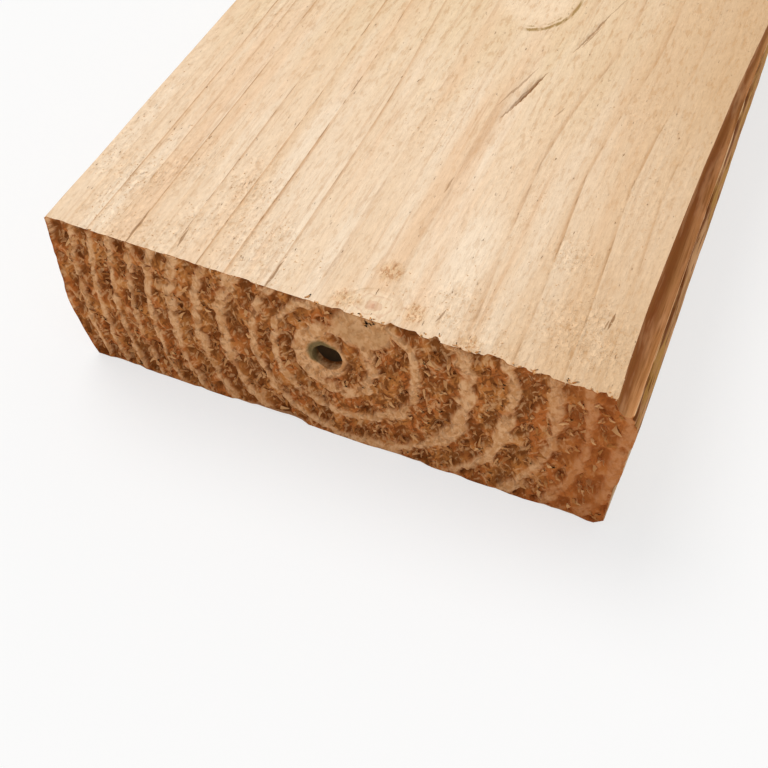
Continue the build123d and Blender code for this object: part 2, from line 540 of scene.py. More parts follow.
@dataclass
class TornWood:
    """The relief of the skin: how far each point lies below the sawn or torn surface."""

    rings: GrowthRings
    near: float
    thickness: float
    half_width: float
    noise: GrainNoise
    checks: tuple[DryingCheck, ...] = (
        DryingCheck(26.0, 130.5, 26.0, 1.2, 0.7, 11.5),
        DryingCheck(16.9, 95.0, 29.0, 1.7, 1.0, 12.5),
        DryingCheck(14.2, 97.5, 20.0, 0.7, 0.3, 14.5),
    )
    lip_drop: float = 3.4
    end_skin: float = 0.25
    torn_depth: float = 1.6
    chip_depth: float = 3.0
    # A piece broken out of the bottom arris at the near end: where it starts to sink, is
    # fully sunk, starts to rise and is whole again, from the middle of the width
    broken_out: tuple[float, float, float, float] = (-24.0, -20.0, -7.5, -5.5)
    broken_depth: float = 1.1
    # Patches of the top face that the saw left woolly: right, from the end, radius
    woolly: tuple[tuple[float, float, float], ...] = (
        (9.0, 16.5, 3.0),
        (2.6, 4.6, 3.2),
        (19.0, 6.0, 3.0),
        (-20.0, 18.0, 4.0),
        (-34.0, 30.0, 6.5),
        (-61.0, 22.0, 9.0),
        (-52.0, 30.0, 5.0),
        (33.0, 3.0, 4.5),
        (56.0, 16.0, 12.0),
        (62.0, 12.0, 7.0),
        (47.0, 38.0, 6.0),
        (26.0, 8.0, 4.0),
    )

    def end_band(self, points: Array, age: Array) -> Array:
        """How much of the hard, cleanly cut late wood each point of an end shows.

        Args:
            points: places on the end.
            age: years grown there.

        Returns:
            1 in late wood, 0 in the torn early wood.
        """
        ragged = self.noise.layered(points, (2.6, 2.6, 2.6), 3) - 0.5
        year = age + 0.34 * ragged
        share = year - np.floor(year)
        width = 0.65 + 0.22 * (self.noise.plain(points + 55.0, (16.0, 16.0, 16.0)) - 0.5)
        band = smooth_step(width - 0.08, width + 0.12, share) * (1.0 - smooth_step(0.90, 1.0, share))
        torn_off = smooth_step(0.52, 0.70, self.noise.layered(points + 31.0, (3.4, 3.4, 3.4), 3))
        return band * (1.0 - 0.65 * torn_off)

    def fuzz(self, points: Array) -> Array:
        """How woolly the sawn top face is at each point, from 0 to 1.

        Args:
            points: places on the skin.

        Returns:
            The share of raised fibres.
        """
        from_end = points[:, 1] - self.near
        clouds = smooth_step(0.40, 0.70, self.noise.layered(points + 77.0, (15.0, 24.0, 15.0), 2))
        amount = clouds * (0.22 + 0.45 * (1.0 - smooth_step(5.0, 70.0, from_end)))
        for right, along, radius in self.woolly:
            away = np.hypot(points[:, 0] - right, from_end - along)
            amount = np.maximum(amount, np.exp(-((away / radius) ** 2)))
        on_top = points[:, 2] > self.thickness - 3.0
        return np.where(on_top, amount, 0.3 * clouds)

    def shagginess(self, points: Array, late: Array) -> Array:
        """How thickly the near end and its top arris stand with loose fibres.

        Args:
            points: places on the skin.
            late: how much late wood each shows.

        Returns:
            The share of fibres; 1 where they are thickest.
        """
        from_end = points[:, 1] - self.near
        off_edge = self.half_width - np.abs(points[:, 0])
        off_face = np.minimum(points[:, 2], self.thickness - points[:, 2])
        clear = smooth_step(1.4, 4.0, np.minimum(off_edge - 1.5, off_face))
        off_pith = self.rings.off_pith(points)
        clear = clear * smooth_step(5.5, 8.0, off_pith)
        on_end = from_end < 3.0
        rough_side = 0.1 + 0.9 * smooth_step(-8.0, 6.0, points[:, 0])
        fringe = (1.0 - smooth_step(0.3, 1.3, from_end)) * rough_side
        above = points[:, 2] > self.thickness - 1.6
        tufted = on_end * clear * (1.0 - 0.95 * late) ** 2
        return np.where(above, fringe * (off_edge > 7.6), tufted)

    def end_depth(self, points: Array, band: Array, roughness: float) -> Array:
        """The torn end grain's depth.

        Args:
            points: places on the end.
            band: how much late wood each shows.
            roughness: 1 for the torn near end, less for a cleaner cut.

        Returns:
            Depths behind the end's plane.
        """
        lumps = self.noise.layered(points, (2.4, 2.4, 3.4), 3)
        fine = self.noise.plain(points + 70.0, (0.75, 0.75, 1.1))
        torn = self.end_skin + self.torn_depth * (0.25 * lumps + 0.75 * smooth_step(0.35, 0.75, lumps))
        torn = torn + 0.35 * fine
        smooth = self.end_skin + 0.22 * fine
        return roughness * (torn * (1.0 - band) + smooth * band)

    def side_depth(self, points: Array, zones: Array, age: Array) -> Array:
        """The depth of the faces' and edges' relief.

        Args:
            points: places on the skin between the two ends.
            zones: their zone numbers.
            age: years grown there.

        Returns:
            Depths below the sawn or torn surface.
        """
        from_end = points[:, 1] - self.near
        fuzz = self.noise.layered(points, (0.9, 4.5, 0.9), 2)
        strands = self.noise.layered(points + 12.0, (1.5, 26.0, 1.5), 3)
        waves = self.noise.layered(points + 90.0, (3.0, 34.0, 3.0), 3)
        share = age - np.floor(age)
        raised = smooth_step(0.72, 0.95, share) * (1.0 - smooth_step(0.97, 1.0, share))
        sawn = 0.03 + 0.16 * fuzz + 0.05 * (1.0 - raised)
        torn_off = 0.02 + 0.9 * smooth_step(0.52, 0.85, strands) + 0.12 * fuzz
        whole = np.maximum(smooth_step(250.0, 470.0, from_end), smooth_step(35.0, 26.0, points[:, 2]))
        edge = torn_off * (1.0 - whole) + sawn * whole
        by_zone = {
            Zone.TOP_FACE: sawn,
            Zone.BOTTOM_FACE: sawn,
            Zone.LEFT_EDGE: 0.02 + 0.25 * strands + 0.10 * fuzz,
            Zone.RIGHT_EDGE: edge,
            Zone.FLANK: edge,
            Zone.GUTTER: 0.05 + 0.4 * waves,
            Zone.WANE: 0.02 + 0.35 * waves,
        }
        depth = np.zeros(len(points))
        for zone, values in by_zone.items():
            depth = np.where(zones == zone.value, values, depth)
        below_lip = self.thickness - self.lip_drop - points[:, 2]
        groove = smooth_step(0.2, 0.9, below_lip) * (1.0 - smooth_step(1.1, 2.2, below_lip))
        patches = self.noise.layered(points + 140.0, (20.0, 16.0, 20.0), 2)
        broken = smooth_step(0.35, 0.60, patches)
        depth = depth + 0.9 * groove * broken * (zones == Zone.FLANK.value)
        on_top = zones == Zone.TOP_FACE.value
        for check in self.checks:
            depth = depth + on_top * check.depth(points[:, 0], from_end)
        return depth

    def ragged(self, points: Array) -> Array:
        """How far the near end's top arris is torn back at each place across the width.

        Args:
            points: places on the skin.

        Returns:
            Distances along the grain.
        """
        across = points * [1, 0, 0]
        nibble = self.noise.layered(across + 5.0, (2.6, 1.0, 1.0), 4)
        patch = self.noise.plain(across + 45.0, (7.0, 1.0, 1.0))
        torn = self.chip_depth * smooth_step(0.46, 0.66, nibble) * (0.15 + 1.1 * patch**2)
        rough_side = 0.12 + 1.08 * smooth_step(-8.0, 8.0, points[:, 0])
        off_left = smooth_step(0.0, 2.0, points[:, 0] + self.half_width)
        off_right = smooth_step(0.0, 1.5, self.half_width - 6.8 - points[:, 0])
        return torn * rough_side * off_left * off_right + 0.05 * nibble

    def arris_loss(self, points: Array, zones: Array) -> Array:
        """What the crosscut tore away from the arrises of the near end.

        Args:
            points: places on the skin, near the near end.
            zones: their zone numbers.

        Returns:
            Depths lost at the end's plane; the loss fades within a few millimetres.
        """
        nibble = self.noise.layered(points * [1, 0, 1] + 5.0, (1.3, 1.0, 1.3), 2)
        wave = self.noise.layered(points * [1, 0, 1] + 25.0, (5.0, 5.0, 5.0), 3)
        above = zones == Zone.TOP_FACE.value
        spared = np.isin(zones, [Zone.WANE.value, Zone.LEFT_EDGE.value])
        edge = (0.7 * smooth_step(0.40, 0.85, wave) + 0.12 * nibble) * (1.0 - 0.75 * spared)
        loss = np.where(above, 0.15 * nibble, edge)
        below = zones == Zone.BOTTOM_FACE.value
        sinks, sunk, rises, whole = self.broken_out
        right = points[:, 0]
        mottle_and_fuzz_shade = smooth_step(sinks, sunk, right) * (1 - smooth_step(rises, whole, right))
        return loss + below * self.broken_depth * mottle_and_fuzz_shade


@dataclass
class PlankSkin:
    """The plank's whole closed surface, close-set where it is seen near to."""

    low: Array
    high: Array
    section: PlankSection
    relief: TornWood
    rings: GrowthRings
    end_pitch: float = 0.62
    far_pitch: float = 1.7
    pit_radius: float = 3.9
    pit_depth: float = 17.0
    vertices: list[Array] = field(default_factory=list)
    faces: list[Array] = field(default_factory=list)
    face_zones: list[Array] = field(default_factory=list)
    values: dict[str, list[Array]] = field(
        default_factory=lambda: {
            name: []
            for name in ("age", "bold", "knot", "rim", "heart", "fuzz", "hollow", "late", "shaggy")
        }
    )
    made: int = 0
    keep_lists: dict[int, Array] = field(default_factory=dict)
    # The small knot cut through at the near end's top: right, height, half width, half height
    end_knot: tuple[float, float, float, float] = (8.5, 42.0, 7.0, 5.6)
    # Stations from the near end: very close at the torn end, close beside the torn arris and
    # wide along the plain rest, up to a last few at the far end
    first_stations: tuple[float, ...] = (0.0, 0.45, 0.95, 1.55, 2.25, 3.05, 4.0, 5.1, 6.3, 7.6)
    close_from: float = 8.8
    close_to: float = 188.0
    close_step: float = 1.28
    wide_from: float = 190.0
    wide_clear: float = 14.0
    wide_step: float = 9.0
    last_stations: tuple[float, ...] = (8.0, 3.0, 1.0, 0.0)

    def _add_points(
        self,
        points: Array,
        age: Array,
        hollow: Array,
        late: Array,
        end_knot: Optional[Array] = None,
    ) -> Array:
        """Keeps new points and their surface values.

        Args:
            points: finished places.
            age: years grown there.
            hollow: depth below the surface round about, for the finish.
            late: how much late wood an end shows there, or the share of the way across
                the gutter or the slope outside it.
            end_knot: how much each point of an end shows the knot cut through at its top.

        Returns:
            The new points' numbers.
        """
        self.vertices.append(np.clip(points, self.low, self.high))
        knot, rim, heart = self.rings.knot_marks(points)
        heart = heart if end_knot is None else end_knot
        given = {
            "age": age,
            "bold": self.rings.boldness(age),
            "knot": knot,
            "rim": rim,
            "heart": heart,
            "fuzz": self.relief.fuzz(points),
            "shaggy": self.relief.shagginess(points, late),
            "hollow": hollow,
            "late": late,
        }
        for name, values in given.items():
            self.values[name].append(values)
        first, self.made = self.made, self.made + len(points)
        return np.arange(first, self.made)

    def _add_faces(self, faces: Array, zones: Array) -> None:
        """Keeps new faces and their zone numbers.

        Args:
            faces: corner numbers, three or four to a row.
            zones: one zone number for each face.
        """
        self.faces.append(faces)
        self.face_zones.append(zones)

    def _outwards(self, loops: Array) -> Array:
        """The outward direction in the cross-section at each point of each loop.

        Args:
            loops: for each station, the loop's places in the cross-section.

        Returns:
            Directions of length 1, laid out like the places.
        """
        ahead = np.roll(loops, -1, axis=1) - np.roll(loops, 1, axis=1)
        out = np.stack([-ahead[:, :, 1], ahead[:, :, 0]], axis=2)
        return out / np.maximum(np.linalg.norm(out, axis=2, keepdims=True), 1e-9)

    def _untangle(self, loop: Array, out: Array, depth: Array) -> None:
        """Eases a loop's relief in place wherever the sunk loop would cross itself.

        Args:
            loop: the loop's points.
            out: the outward direction at each point.
            depth: the relief at each point.
        """
        for _ in range(20):
            start = loop - out * depth[:, None]
            step = np.roll(start, -1, axis=0) - start
            gap = start[None, :] - start[:, None]
            side = step[:, None, 0] * gap[:, :, 1] - step[:, None, 1] * gap[:, :, 0]
            split = side * np.roll(side, -1, axis=1) < 0
            crossed = (split & split.T).any(axis=1)
            if not crossed.any():
                return
            for shift in range(-3, 4):
                depth[np.roll(crossed, shift)] *= 0.85

    def _tube(self, from_end: Array, step: int) -> tuple[Array, Array]:
        """A stretch of the skin between two stations.

        Args:
            from_end: its stations' distances from the near end.
            step: how much coarser its loops are than the finest.

        Returns:
            Point numbers as (station, point), and the loop's zone numbers.
        """
        loops, zones = self.section.loop(from_end, step)
        out = self._outwards(loops)
        stations, count = loops.shape[:2]
        along = np.repeat(self.low[1] + from_end, count)
        points = np.stack([loops[:, :, 0].ravel(), along, loops[:, :, 1].ravel()], axis=1)
        zone_of = np.tile(zones, stations)
        age = self.rings.age(points, self.relief.noise)
        depth = self.relief.side_depth(points, zone_of, age)
        distance = np.repeat(from_end, count)
        loss = self.relief.arris_loss(points, zone_of)
        depth = depth + loss * (1.0 - smooth_step(0.0, 2.2, distance)) ** 1.5
        outward = out.reshape(-1, 2)
        lip = loops[:, np.argmax(zones == Zone.FLANK.value)]
        from_lip = np.linalg.norm(loops - lip[:, None], axis=2).ravel()
        depth = depth * (0.15 + 0.85 * smooth_step(0.0, 1.8, from_lip))
        self._untangle(loops[0], out[0], depth[:count])
        moved = points - np.stack(
            [outward[:, 0] * depth, np.zeros(len(points)), outward[:, 1] * depth], axis=1
        )
        moved[:, 1] += (self.relief.end_skin + 0.6 * loss) * (distance == 0.0)
        torn_back = self.relief.ragged(points) * (1.0 - smooth_step(0.0, 4.5, distance))
        moved[:, 1] += torn_back * (zone_of == Zone.TOP_FACE.value)
        far_away = self.high[1] - self.low[1]
        moved[:, 1] -= 0.1 * (distance == far_away)
        across = np.zeros(count)
        for zone in (Zone.GUTTER, Zone.FLANK):
            part = zones == zone.value
            across[part] = np.arange(part.sum()) / part.sum()
        across[zones == Zone.RIGHT_EDGE.value] = 1.0
        numbers = self._add_points(moved, age, depth, np.tile(across, stations))
        numbers = numbers.reshape(stations, count)
        across = np.roll(numbers, -1, axis=1)
        quads = np.stack([across[:-1], across[1:], numbers[1:], numbers[:-1]], axis=2)
        self._add_faces(quads.reshape(-1, 4), np.tile(zones, stations - 1))
        return numbers, zones

    def _bridge(self, fine: Array, coarse: Array, zones: Array) -> None:
        """Joins a loop to the next one, which keeps every second point.

        Args:
            fine: numbers of the finer loop's last points.
            coarse: numbers of the coarser loop's first points.
            zones: the coarser loop's zone numbers.
        """
        kept = self.keep_lists[len(fine)]
        half = np.searchsorted(kept, np.arange(len(fine)), "right") - 1
        half = np.minimum(half, len(coarse) - 1)
        after = np.roll(fine, -1)
        next_half = np.roll(half, -1)
        plain = np.stack([after, coarse[half], fine], axis=1)
        self._add_faces(plain, zones[half])
        turn = np.nonzero(next_half != half)[0]
        wedge = np.stack([coarse[next_half[turn]], coarse[half[turn]], after[turn]], axis=1)
        self._add_faces(wedge, zones[half[turn]])

    def _note_kept(self, step: int) -> None:
        """Notes the places of a loop that the loop of twice the step keeps.

        Args:
            step: the finer loop's step.
        """
        kept, start = [], 0
        order = [
            Zone.TOP_FACE,
            Zone.GUTTER,
            Zone.FLANK,
            Zone.RIGHT_EDGE,
            None,
            Zone.BOTTOM_FACE,
            Zone.WANE,
            Zone.LEFT_EDGE,
            None,
        ]
        for zone in order:
            count = 1 if zone is None else self.section.counts[zone] // step
            kept += list(range(start, start + count, 1 if zone is None else 2))
            start += count
        self.keep_lists[start] = np.array(kept)

    def _inside(self, places: Array, outline: Array) -> Array:
        """Which places lie inside a closed outline.

        Args:
            places: XZ places.
            outline: the outline's XZ corners in order.

        Returns:
            True for each place inside.
        """
        inside = np.zeros(len(places), bool)
        following = np.roll(outline, -1, axis=0)
        for (x0, z0), (x1, z1) in zip(outline, following):
            crosses = (z0 > places[:, 1]) != (z1 > places[:, 1])
            reach = (x1 - x0) * (places[:, 1] - z0) / (z1 - z0 if z1 != z0 else 1e-9) + x0
            inside ^= crosses & (places[:, 0] < reach)
        return inside

    def _cap_places(self, outline: Array, pitch: float, pit: bool) -> Array:
        """Places spread over an end, with circles round the hollow pith.

        Args:
            outline: the end's outline.
            pitch: the distance between places.
            pit: whether the pith is hollow there.

        Returns:
            XZ places inside the outline.
        """
        low, high = outline.min(axis=0), outline.max(axis=0)
        rows = np.arange(low[1] + 0.3 * pitch, high[1], pitch * 0.87)
        columns = np.arange(low[0], high[0], pitch)
        shift = (np.arange(len(rows)) % 2)[:, None] * pitch / 2
        grid_x = columns[None, :] + shift
        grid_z = np.repeat(rows[:, None], len(columns), axis=1)
        places = np.stack([grid_x.ravel(), grid_z.ravel()], axis=1)
        rng = np.random.default_rng(7)
        places = places + rng.uniform(-0.22, 0.22, places.shape) * pitch
        step = np.roll(outline, -1, axis=0) - outline
        spacing = np.linalg.norm(step, axis=1)
        gap = 0.45 * min(pitch, float(np.median(spacing)) * 1.2)
        clear = self._inside(places, outline)
        for start in range(0, len(outline), 40):
            part = outline[start : start + 40]
            away = places[:, None] - part[None, :]
            clear &= np.hypot(away[:, :, 0], away[:, :, 1]).min(axis=1) > gap
        places = places[clear]
        if pit:
            centre = np.array([self.rings.pith_right, self.rings.pith_height])
            reach = np.hypot(*(places - centre).T)
            places = places[reach > self.pit_radius + 0.35]
            circles = [centre + [[0.0, 0.0]]]
            for radius in (3.95, 3.75, 3.5, 3.2, 2.85, 2.4, 1.8, 1.1, 0.5):
                count = 44 if radius > 1.5 else 14
                angles = np.arange(count) / count * 2 * pi
                circles.append(centre + radius * np.stack([np.cos(angles), np.sin(angles)], axis=1))
            places = np.concatenate([places, *circles])
        return places

    def _cap(self, rim: Array, pitch: float, zone: Zone) -> None:
        """Closes one end with a triangulated, torn surface.

        Args:
            rim: numbers of the end loop's points.
            pitch: the distance between the new points.
            zone: which end it is.
        """
        near = zone is Zone.NEAR_END
        everything = np.concatenate(self.vertices)
        outline = everything[rim][:, [0, 2]]
        inner = self._cap_places(outline, pitch, near)
        plane = self.low[1] if near else self.high[1]
        points = np.stack([inner[:, 0], np.full(len(inner), plane), inner[:, 1]], axis=1)
        age = self.rings.age(points, self.relief.noise)
        band = self.relief.end_band(points, age)
        depth = self.relief.end_depth(points, band, 1.0 if near else 0.35)
        knot = np.zeros(len(points))
        if near:
            knot = smooth_step(1.30, 0.75, self._end_knot(points))
            band = np.maximum(band, knot)
            depth = depth * (1.0 - 0.8 * knot) + 0.15 * knot
            ring = smooth_step(8.2, 6.0, self.rings.off_pith(points + [2.0, 0.0, 1.0]))
            depth = depth * (1.0 - 0.7 * ring) + 0.2 * ring
            band = np.maximum(band, 0.8 * ring)
            away = self.rings.off_pith(points)
            pit = self._pit(away)
            depth = np.where(away < self.pit_radius, 0.35 + pit, depth)
            band = np.where(away < self.pit_radius, 0.0, band)
            under = 1.0 - smooth_step(0.0, 3.4, self.relief.thickness - points[:, 2])
            depth = depth + self.relief.ragged(points) * under
        moved = points.copy()
        moved[:, 1] += depth if near else -depth
        numbers = self._add_points(moved, age, depth, band, knot)
        corners = np.concatenate([outline, inner])
        every = np.concatenate([rim, numbers])
        count = len(rim)
        found, _, triangles, originals, _, _ = delaunay_2d_cdt(
            [Vector(map(float, place)) for place in corners],
            [],
            [list(range(count - 1, -1, -1))],
            1,
            1e-6,
        )
        source = np.array([one[0] for one in originals])
        triangles = every[source[np.array([list(one) for one in triangles])]]
        flat = np.concatenate(self.vertices)[triangles][:, :, [0, 2]]
        turn = np.cross(flat[:, 1] - flat[:, 0], flat[:, 2] - flat[:, 0])
        wanted = turn > 0 if near else turn < 0
        triangles = np.where(wanted[:, None], triangles, triangles[:, ::-1])
        zones = np.full(len(triangles), zone.value)
        if near:
            middle = flat.mean(axis=1)
            away = np.hypot(middle[:, 0] - self.rings.pith_right, middle[:, 1] - self.rings.pith_height)
            zones = np.where(away < self.pit_radius - 0.1, Zone.PITH.value, zones)
        self._add_faces(triangles, zones)

    def _pit(self, away: Array) -> Array:
        """The hollow pith's depth at each distance from its middle."""
        share = np.clip(away / self.pit_radius, 0.0, 1.0)
        return self.pit_depth * (1.0 - share**2.6) ** 0.8

    def _end_knot(self, points: Array) -> Array:
        """How near a point of the near end is to the small knot cut through at its top."""
        right, height, half_width, half_height = self.end_knot
        return np.hypot((points[:, 0] - right) / half_width, (points[:, 2] - height) / half_height)

    def build(self) -> bpy.types.Object:
        """Makes the closed mesh with its surface values.

        Returns:
            The plank's object, with no finish on it yet and the zones as material numbers.
        """
        self._note_kept(1)
        self._note_kept(2)
        length = float(self.high[1] - self.low[1])
        close = np.arange(self.close_from, self.close_to, self.close_step)
        wide = np.arange(self.wide_from, length - self.wide_clear, self.wide_step)
        wide = np.append(wide, length - np.array(self.last_stations))
        first, _ = self._tube(np.array(self.first_stations), 1)
        second, close_zones = self._tube(close, 2)
        third, wide_zones = self._tube(wide, 4)
        self._bridge(first[-1], second[0], close_zones)
        self._bridge(second[-1], third[0], wide_zones)
        self._cap(first[0], self.end_pitch, Zone.NEAR_END)
        self._cap(third[-1], self.far_pitch, Zone.FAR_END)
        mesh = bpy.data.meshes.new("plank_skin")
        faces = [list(map(int, face)) for group in self.faces for face in group]
        mesh.from_pydata((np.concatenate(self.vertices) * MM).tolist(), [], faces)
        for name, parts in self.values.items():
            attribute = mesh.attributes.new(name, "FLOAT", "POINT")
            attribute.data.foreach_set("value", np.concatenate(parts).astype(np.float32))
        mesh.polygons.foreach_set("material_index", np.concatenate(self.face_zones).astype(np.int32))
        mesh.polygons.foreach_set("use_smooth", np.ones(len(faces), bool))
        mesh.set_sharp_from_angle(angle=radians(58))
        mesh.update()
        piece = bpy.data.objects.new("sawn_plank", mesh)
        bpy.context.scene.collection.objects.link(piece)
        return piece


# Node trees

Value = Union["Wire", float, int, Sequence[float]]


class Wire:
    """A node's output that takes part in sums, so that a mask reads as an expression."""

    def __init__(self, sheet: "NodeSheet", socket: bpy.types.NodeSocket) -> None:
        """Keeps the output and the sheet that it is on."""
        self.sheet = sheet
        self.socket = socket

    def _math(self, operation: str, first: Value, second: Value) -> "Wire":
        """Adds one Math node."""
        return self.sheet.add("ShaderNodeMath", {"operation": operation}, [first, second])

    def __add__(self, other: Value) -> "Wire":
        """self + other"""
        return self._math("ADD", self, other)

    def __radd__(self, other: Value) -> "Wire":
        """other + self"""
        return self._math("ADD", other, self)

    def __sub__(self, other: Value) -> "Wire":
        """self - other"""
        return self._math("SUBTRACT", self, other)

    def __rsub__(self, other: Value) -> "Wire":
        """other - self"""
        return self._math("SUBTRACT", other, self)

    def __mul__(self, other: Value) -> "Wire":
        """self * other"""
        return self._math("MULTIPLY", self, other)

    def __rmul__(self, other: Value) -> "Wire":
        """other * self"""
        return self._math("MULTIPLY", other, self)

    def __pow__(self, other: Value) -> "Wire":
        """self ** other"""
        return self._math("POWER", self, other)

    def fraction(self) -> "Wire":
        """What is left above the whole number."""
        return self._math("FRACT", self, 0.0)

    def least(self, other: Value) -> "Wire":
        """The smaller of the two."""
        return self._math("MINIMUM", self, other)

    def most(self, other: Value) -> "Wire":
        """The larger of the two."""
        return self._math("MAXIMUM", self, other)

    def rise(self, low: Value, high: Value) -> "Wire":
        """A smooth rise from 0 at low to 1 at high.

        Args:
            low: where the rise starts.
            high: where it ends; below low, the rise becomes a fall.

        Returns:
            The graded value.
        """
        settings = {"interpolation_type": "SMOOTHSTEP", "clamp": True}
        inputs = {"Value": self, "From Min": low, "From Max": high}
        return self.sheet.add("ShaderNodeMapRange", settings, inputs)


class NodeSheet:
    """A node tree that nodes are added to by type, settings and inputs."""

    def __init__(self, tree: bpy.types.NodeTree) -> None:
        """Empties the tree and keeps it."""
        self.tree = tree
        tree.nodes.clear()

    def join(self, value: Value, socket: bpy.types.NodeSocket) -> None:
        """Links a wire to an input, or sets the input's value.

        Args:
            value: a wire, a number or several numbers.
            socket: the input.
        """
        if isinstance(value, Wire):
            self.tree.links.new(value.socket, socket)
        else:
            socket.default_value = value

    def place(
        self,
        kind: str,
        settings: Optional[dict[str, Any]] = None,
        inputs: Union[dict[str, Value], Sequence[Value], None] = None,
    ) -> bpy.types.Node:
        """Adds one node, sets it and then joins its inputs.

        Args:
            kind: the node's type.
            settings: the node's own settings, which are set first.
            inputs: values or wires, by input name or in order.

        Returns:
            The node.
        """
        node = self.tree.nodes.new(kind)
        for name, setting in (settings or {}).items():
            setattr(node, name, setting)
        if isinstance(inputs, dict):
            for name, value in inputs.items():
                match = [one for one in node.inputs if one.name == name and one.enabled]
                self.join(value, match[0])
        elif inputs is not None:
            for value, socket in zip(inputs, node.inputs):
                self.join(value, socket)
        return node

    def add(
        self,
        kind: str,
        settings: Optional[dict[str, Any]] = None,
        inputs: Union[dict[str, Value], Sequence[Value], None] = None,
        output: Optional[str] = None,
    ) -> Wire:
        """Adds one node and gives one of its outputs.

        Args:
            kind: the node's type.
            settings: the node's own settings.
            inputs: values or wires, by input name or in order.
            output: the output's name, or the first that is in use.

        Returns:
            The output as a wire.
        """
        node = self.place(kind, settings, inputs)
        found = [one for one in node.outputs if one.enabled and output in (None, one.name)]
        return Wire(self, found[0])


class FinishSheet(NodeSheet):
    """A material's node tree, with what the wood finishes share."""

    # Bare wood hardly mirrors anything
    MIRROR = 0.10

    def __init__(self, name: str) -> None:
        """Makes the material and reads the place on the piece in millimetres."""
        self.material = bpy.data.materials.new(name)
        self.material.use_nodes = True
        super().__init__(self.material.node_tree)
        place = self.add("ShaderNodeTexCoord", output="Object")
        self.place_mm = self.scaled(place, (1000.0, 1000.0, 1000.0))

    def scaled(self, vector: Wire, by: Sequence[float]) -> Wire:
        """A vector stretched along each axis."""
        return self.add("ShaderNodeVectorMath", {"operation": "MULTIPLY"}, [vector, by])

    def axis(self, name: str) -> Wire:
        """The place along one axis, in millimetres."""
        return self.add("ShaderNodeSeparateXYZ", {}, [self.place_mm], name)

    def distance(self, spot: Sequence[float]) -> Wire:
        """The distance from a spot that is given in millimetres."""
        settings = {"operation": "DISTANCE"}
        return self.add("ShaderNodeVectorMath", settings, [self.place_mm, spot], "Value")

    def shifted(self, vector: Wire, by: Sequence[float]) -> Wire:
        """A vector moved by the given amounts."""
        return self.add("ShaderNodeVectorMath", {"operation": "ADD"}, [vector, by])

    def noise(
        self,
        grain: Sequence[float],
        detail: float = 3.0,
        rough: float = 0.5,
        seed: float = 0.0,
    ) -> Wire:
        """Noise whose lumps have the given size.

        Args:
            grain: a lump's size along X, Y and Z, in millimetres.
            detail: how many finer layers are added.
            rough: how strong those layers are.
            seed: moves to another part of the noise.

        Returns:
            Values round 0.5.
        """
        vector = self.scaled(self.place_mm, [1.0 / size for size in grain])
        moved = self.shifted(vector, (seed, seed * 1.7, seed * 0.6))
        inputs = {"Vector": moved, "Scale": 1.0, "Detail": detail, "Roughness": rough}
        return self.add("ShaderNodeTexNoise", {"noise_dimensions": "3D"}, inputs)

    def value(self, name: str) -> Wire:
        """One of the mesh's own surface values."""
        return self.add("ShaderNodeAttribute", {"attribute_name": name}, output="Fac")

    def blend(self, share: Value, first: Value, second: Value) -> Wire:
        """A colour between two.

        Args:
            share: 0 gives the first colour and 1 the second.
            first: a colour or a wire.
            second: a colour or a wire.

        Returns:
            The blended colour.
        """
        settings = {"data_type": "RGBA", "blend_type": "MIX", "clamp_factor": True}
        return self.add("ShaderNodeMix", settings, {"Factor": share, "A": first, "B": second})

    def lift(self, colour: Wire, by: Value) -> Wire:
        """A colour made lighter or darker by a factor."""
        return self.add("ShaderNodeVectorMath", {"operation": "SCALE"}, {"Vector": colour, "Scale": by})

    def finish(
        self,
        colour: Value,
        roughness: Value,
        height: Wire,
        distance: float,
        strength: float,
    ) -> bpy.types.Material:
        """Ends the tree in a Principled shader with a bump.

        Args:
            colour: the base colour.
            roughness: the roughness.
            height: the bump's height, from about 0 to 1.
            distance: the height of 1, in millimetres.
            strength: the bump's strength.

        Returns:
            The material.
        """
        inputs = {"Strength": strength, "Distance": distance * MM, "Height": height}
        normal = self.add("ShaderNodeBump", {}, inputs)
        shader = self.add(
            "ShaderNodeBsdfPrincipled",
            {},
            {
                "Base Color": colour,
                "Roughness": roughness,
                "Specular IOR Level": self.MIRROR,
                "Normal": normal,
            },
        )
        self.place("ShaderNodeOutputMaterial", {}, {"Surface": shader})
        return self.material


def shade(red: float, green: float, blue: float) -> tuple[float, float, float, float]:
    """A colour seen on screen, from 0 to 255, as the shader's own linear colour.

    Args:
        red: red on screen.
        green: green on screen.
        blue: blue on screen.

    Returns:
        The linear colour with full alpha.
    """
    linear = [
        part / 12.92 if part <= 0.04045 else ((part + 0.055) / 1.055) ** 2.4
        for part in (red / 255, green / 255, blue / 255)
    ]
    return (linear[0], linear[1], linear[2], 1.0)


# Finishes


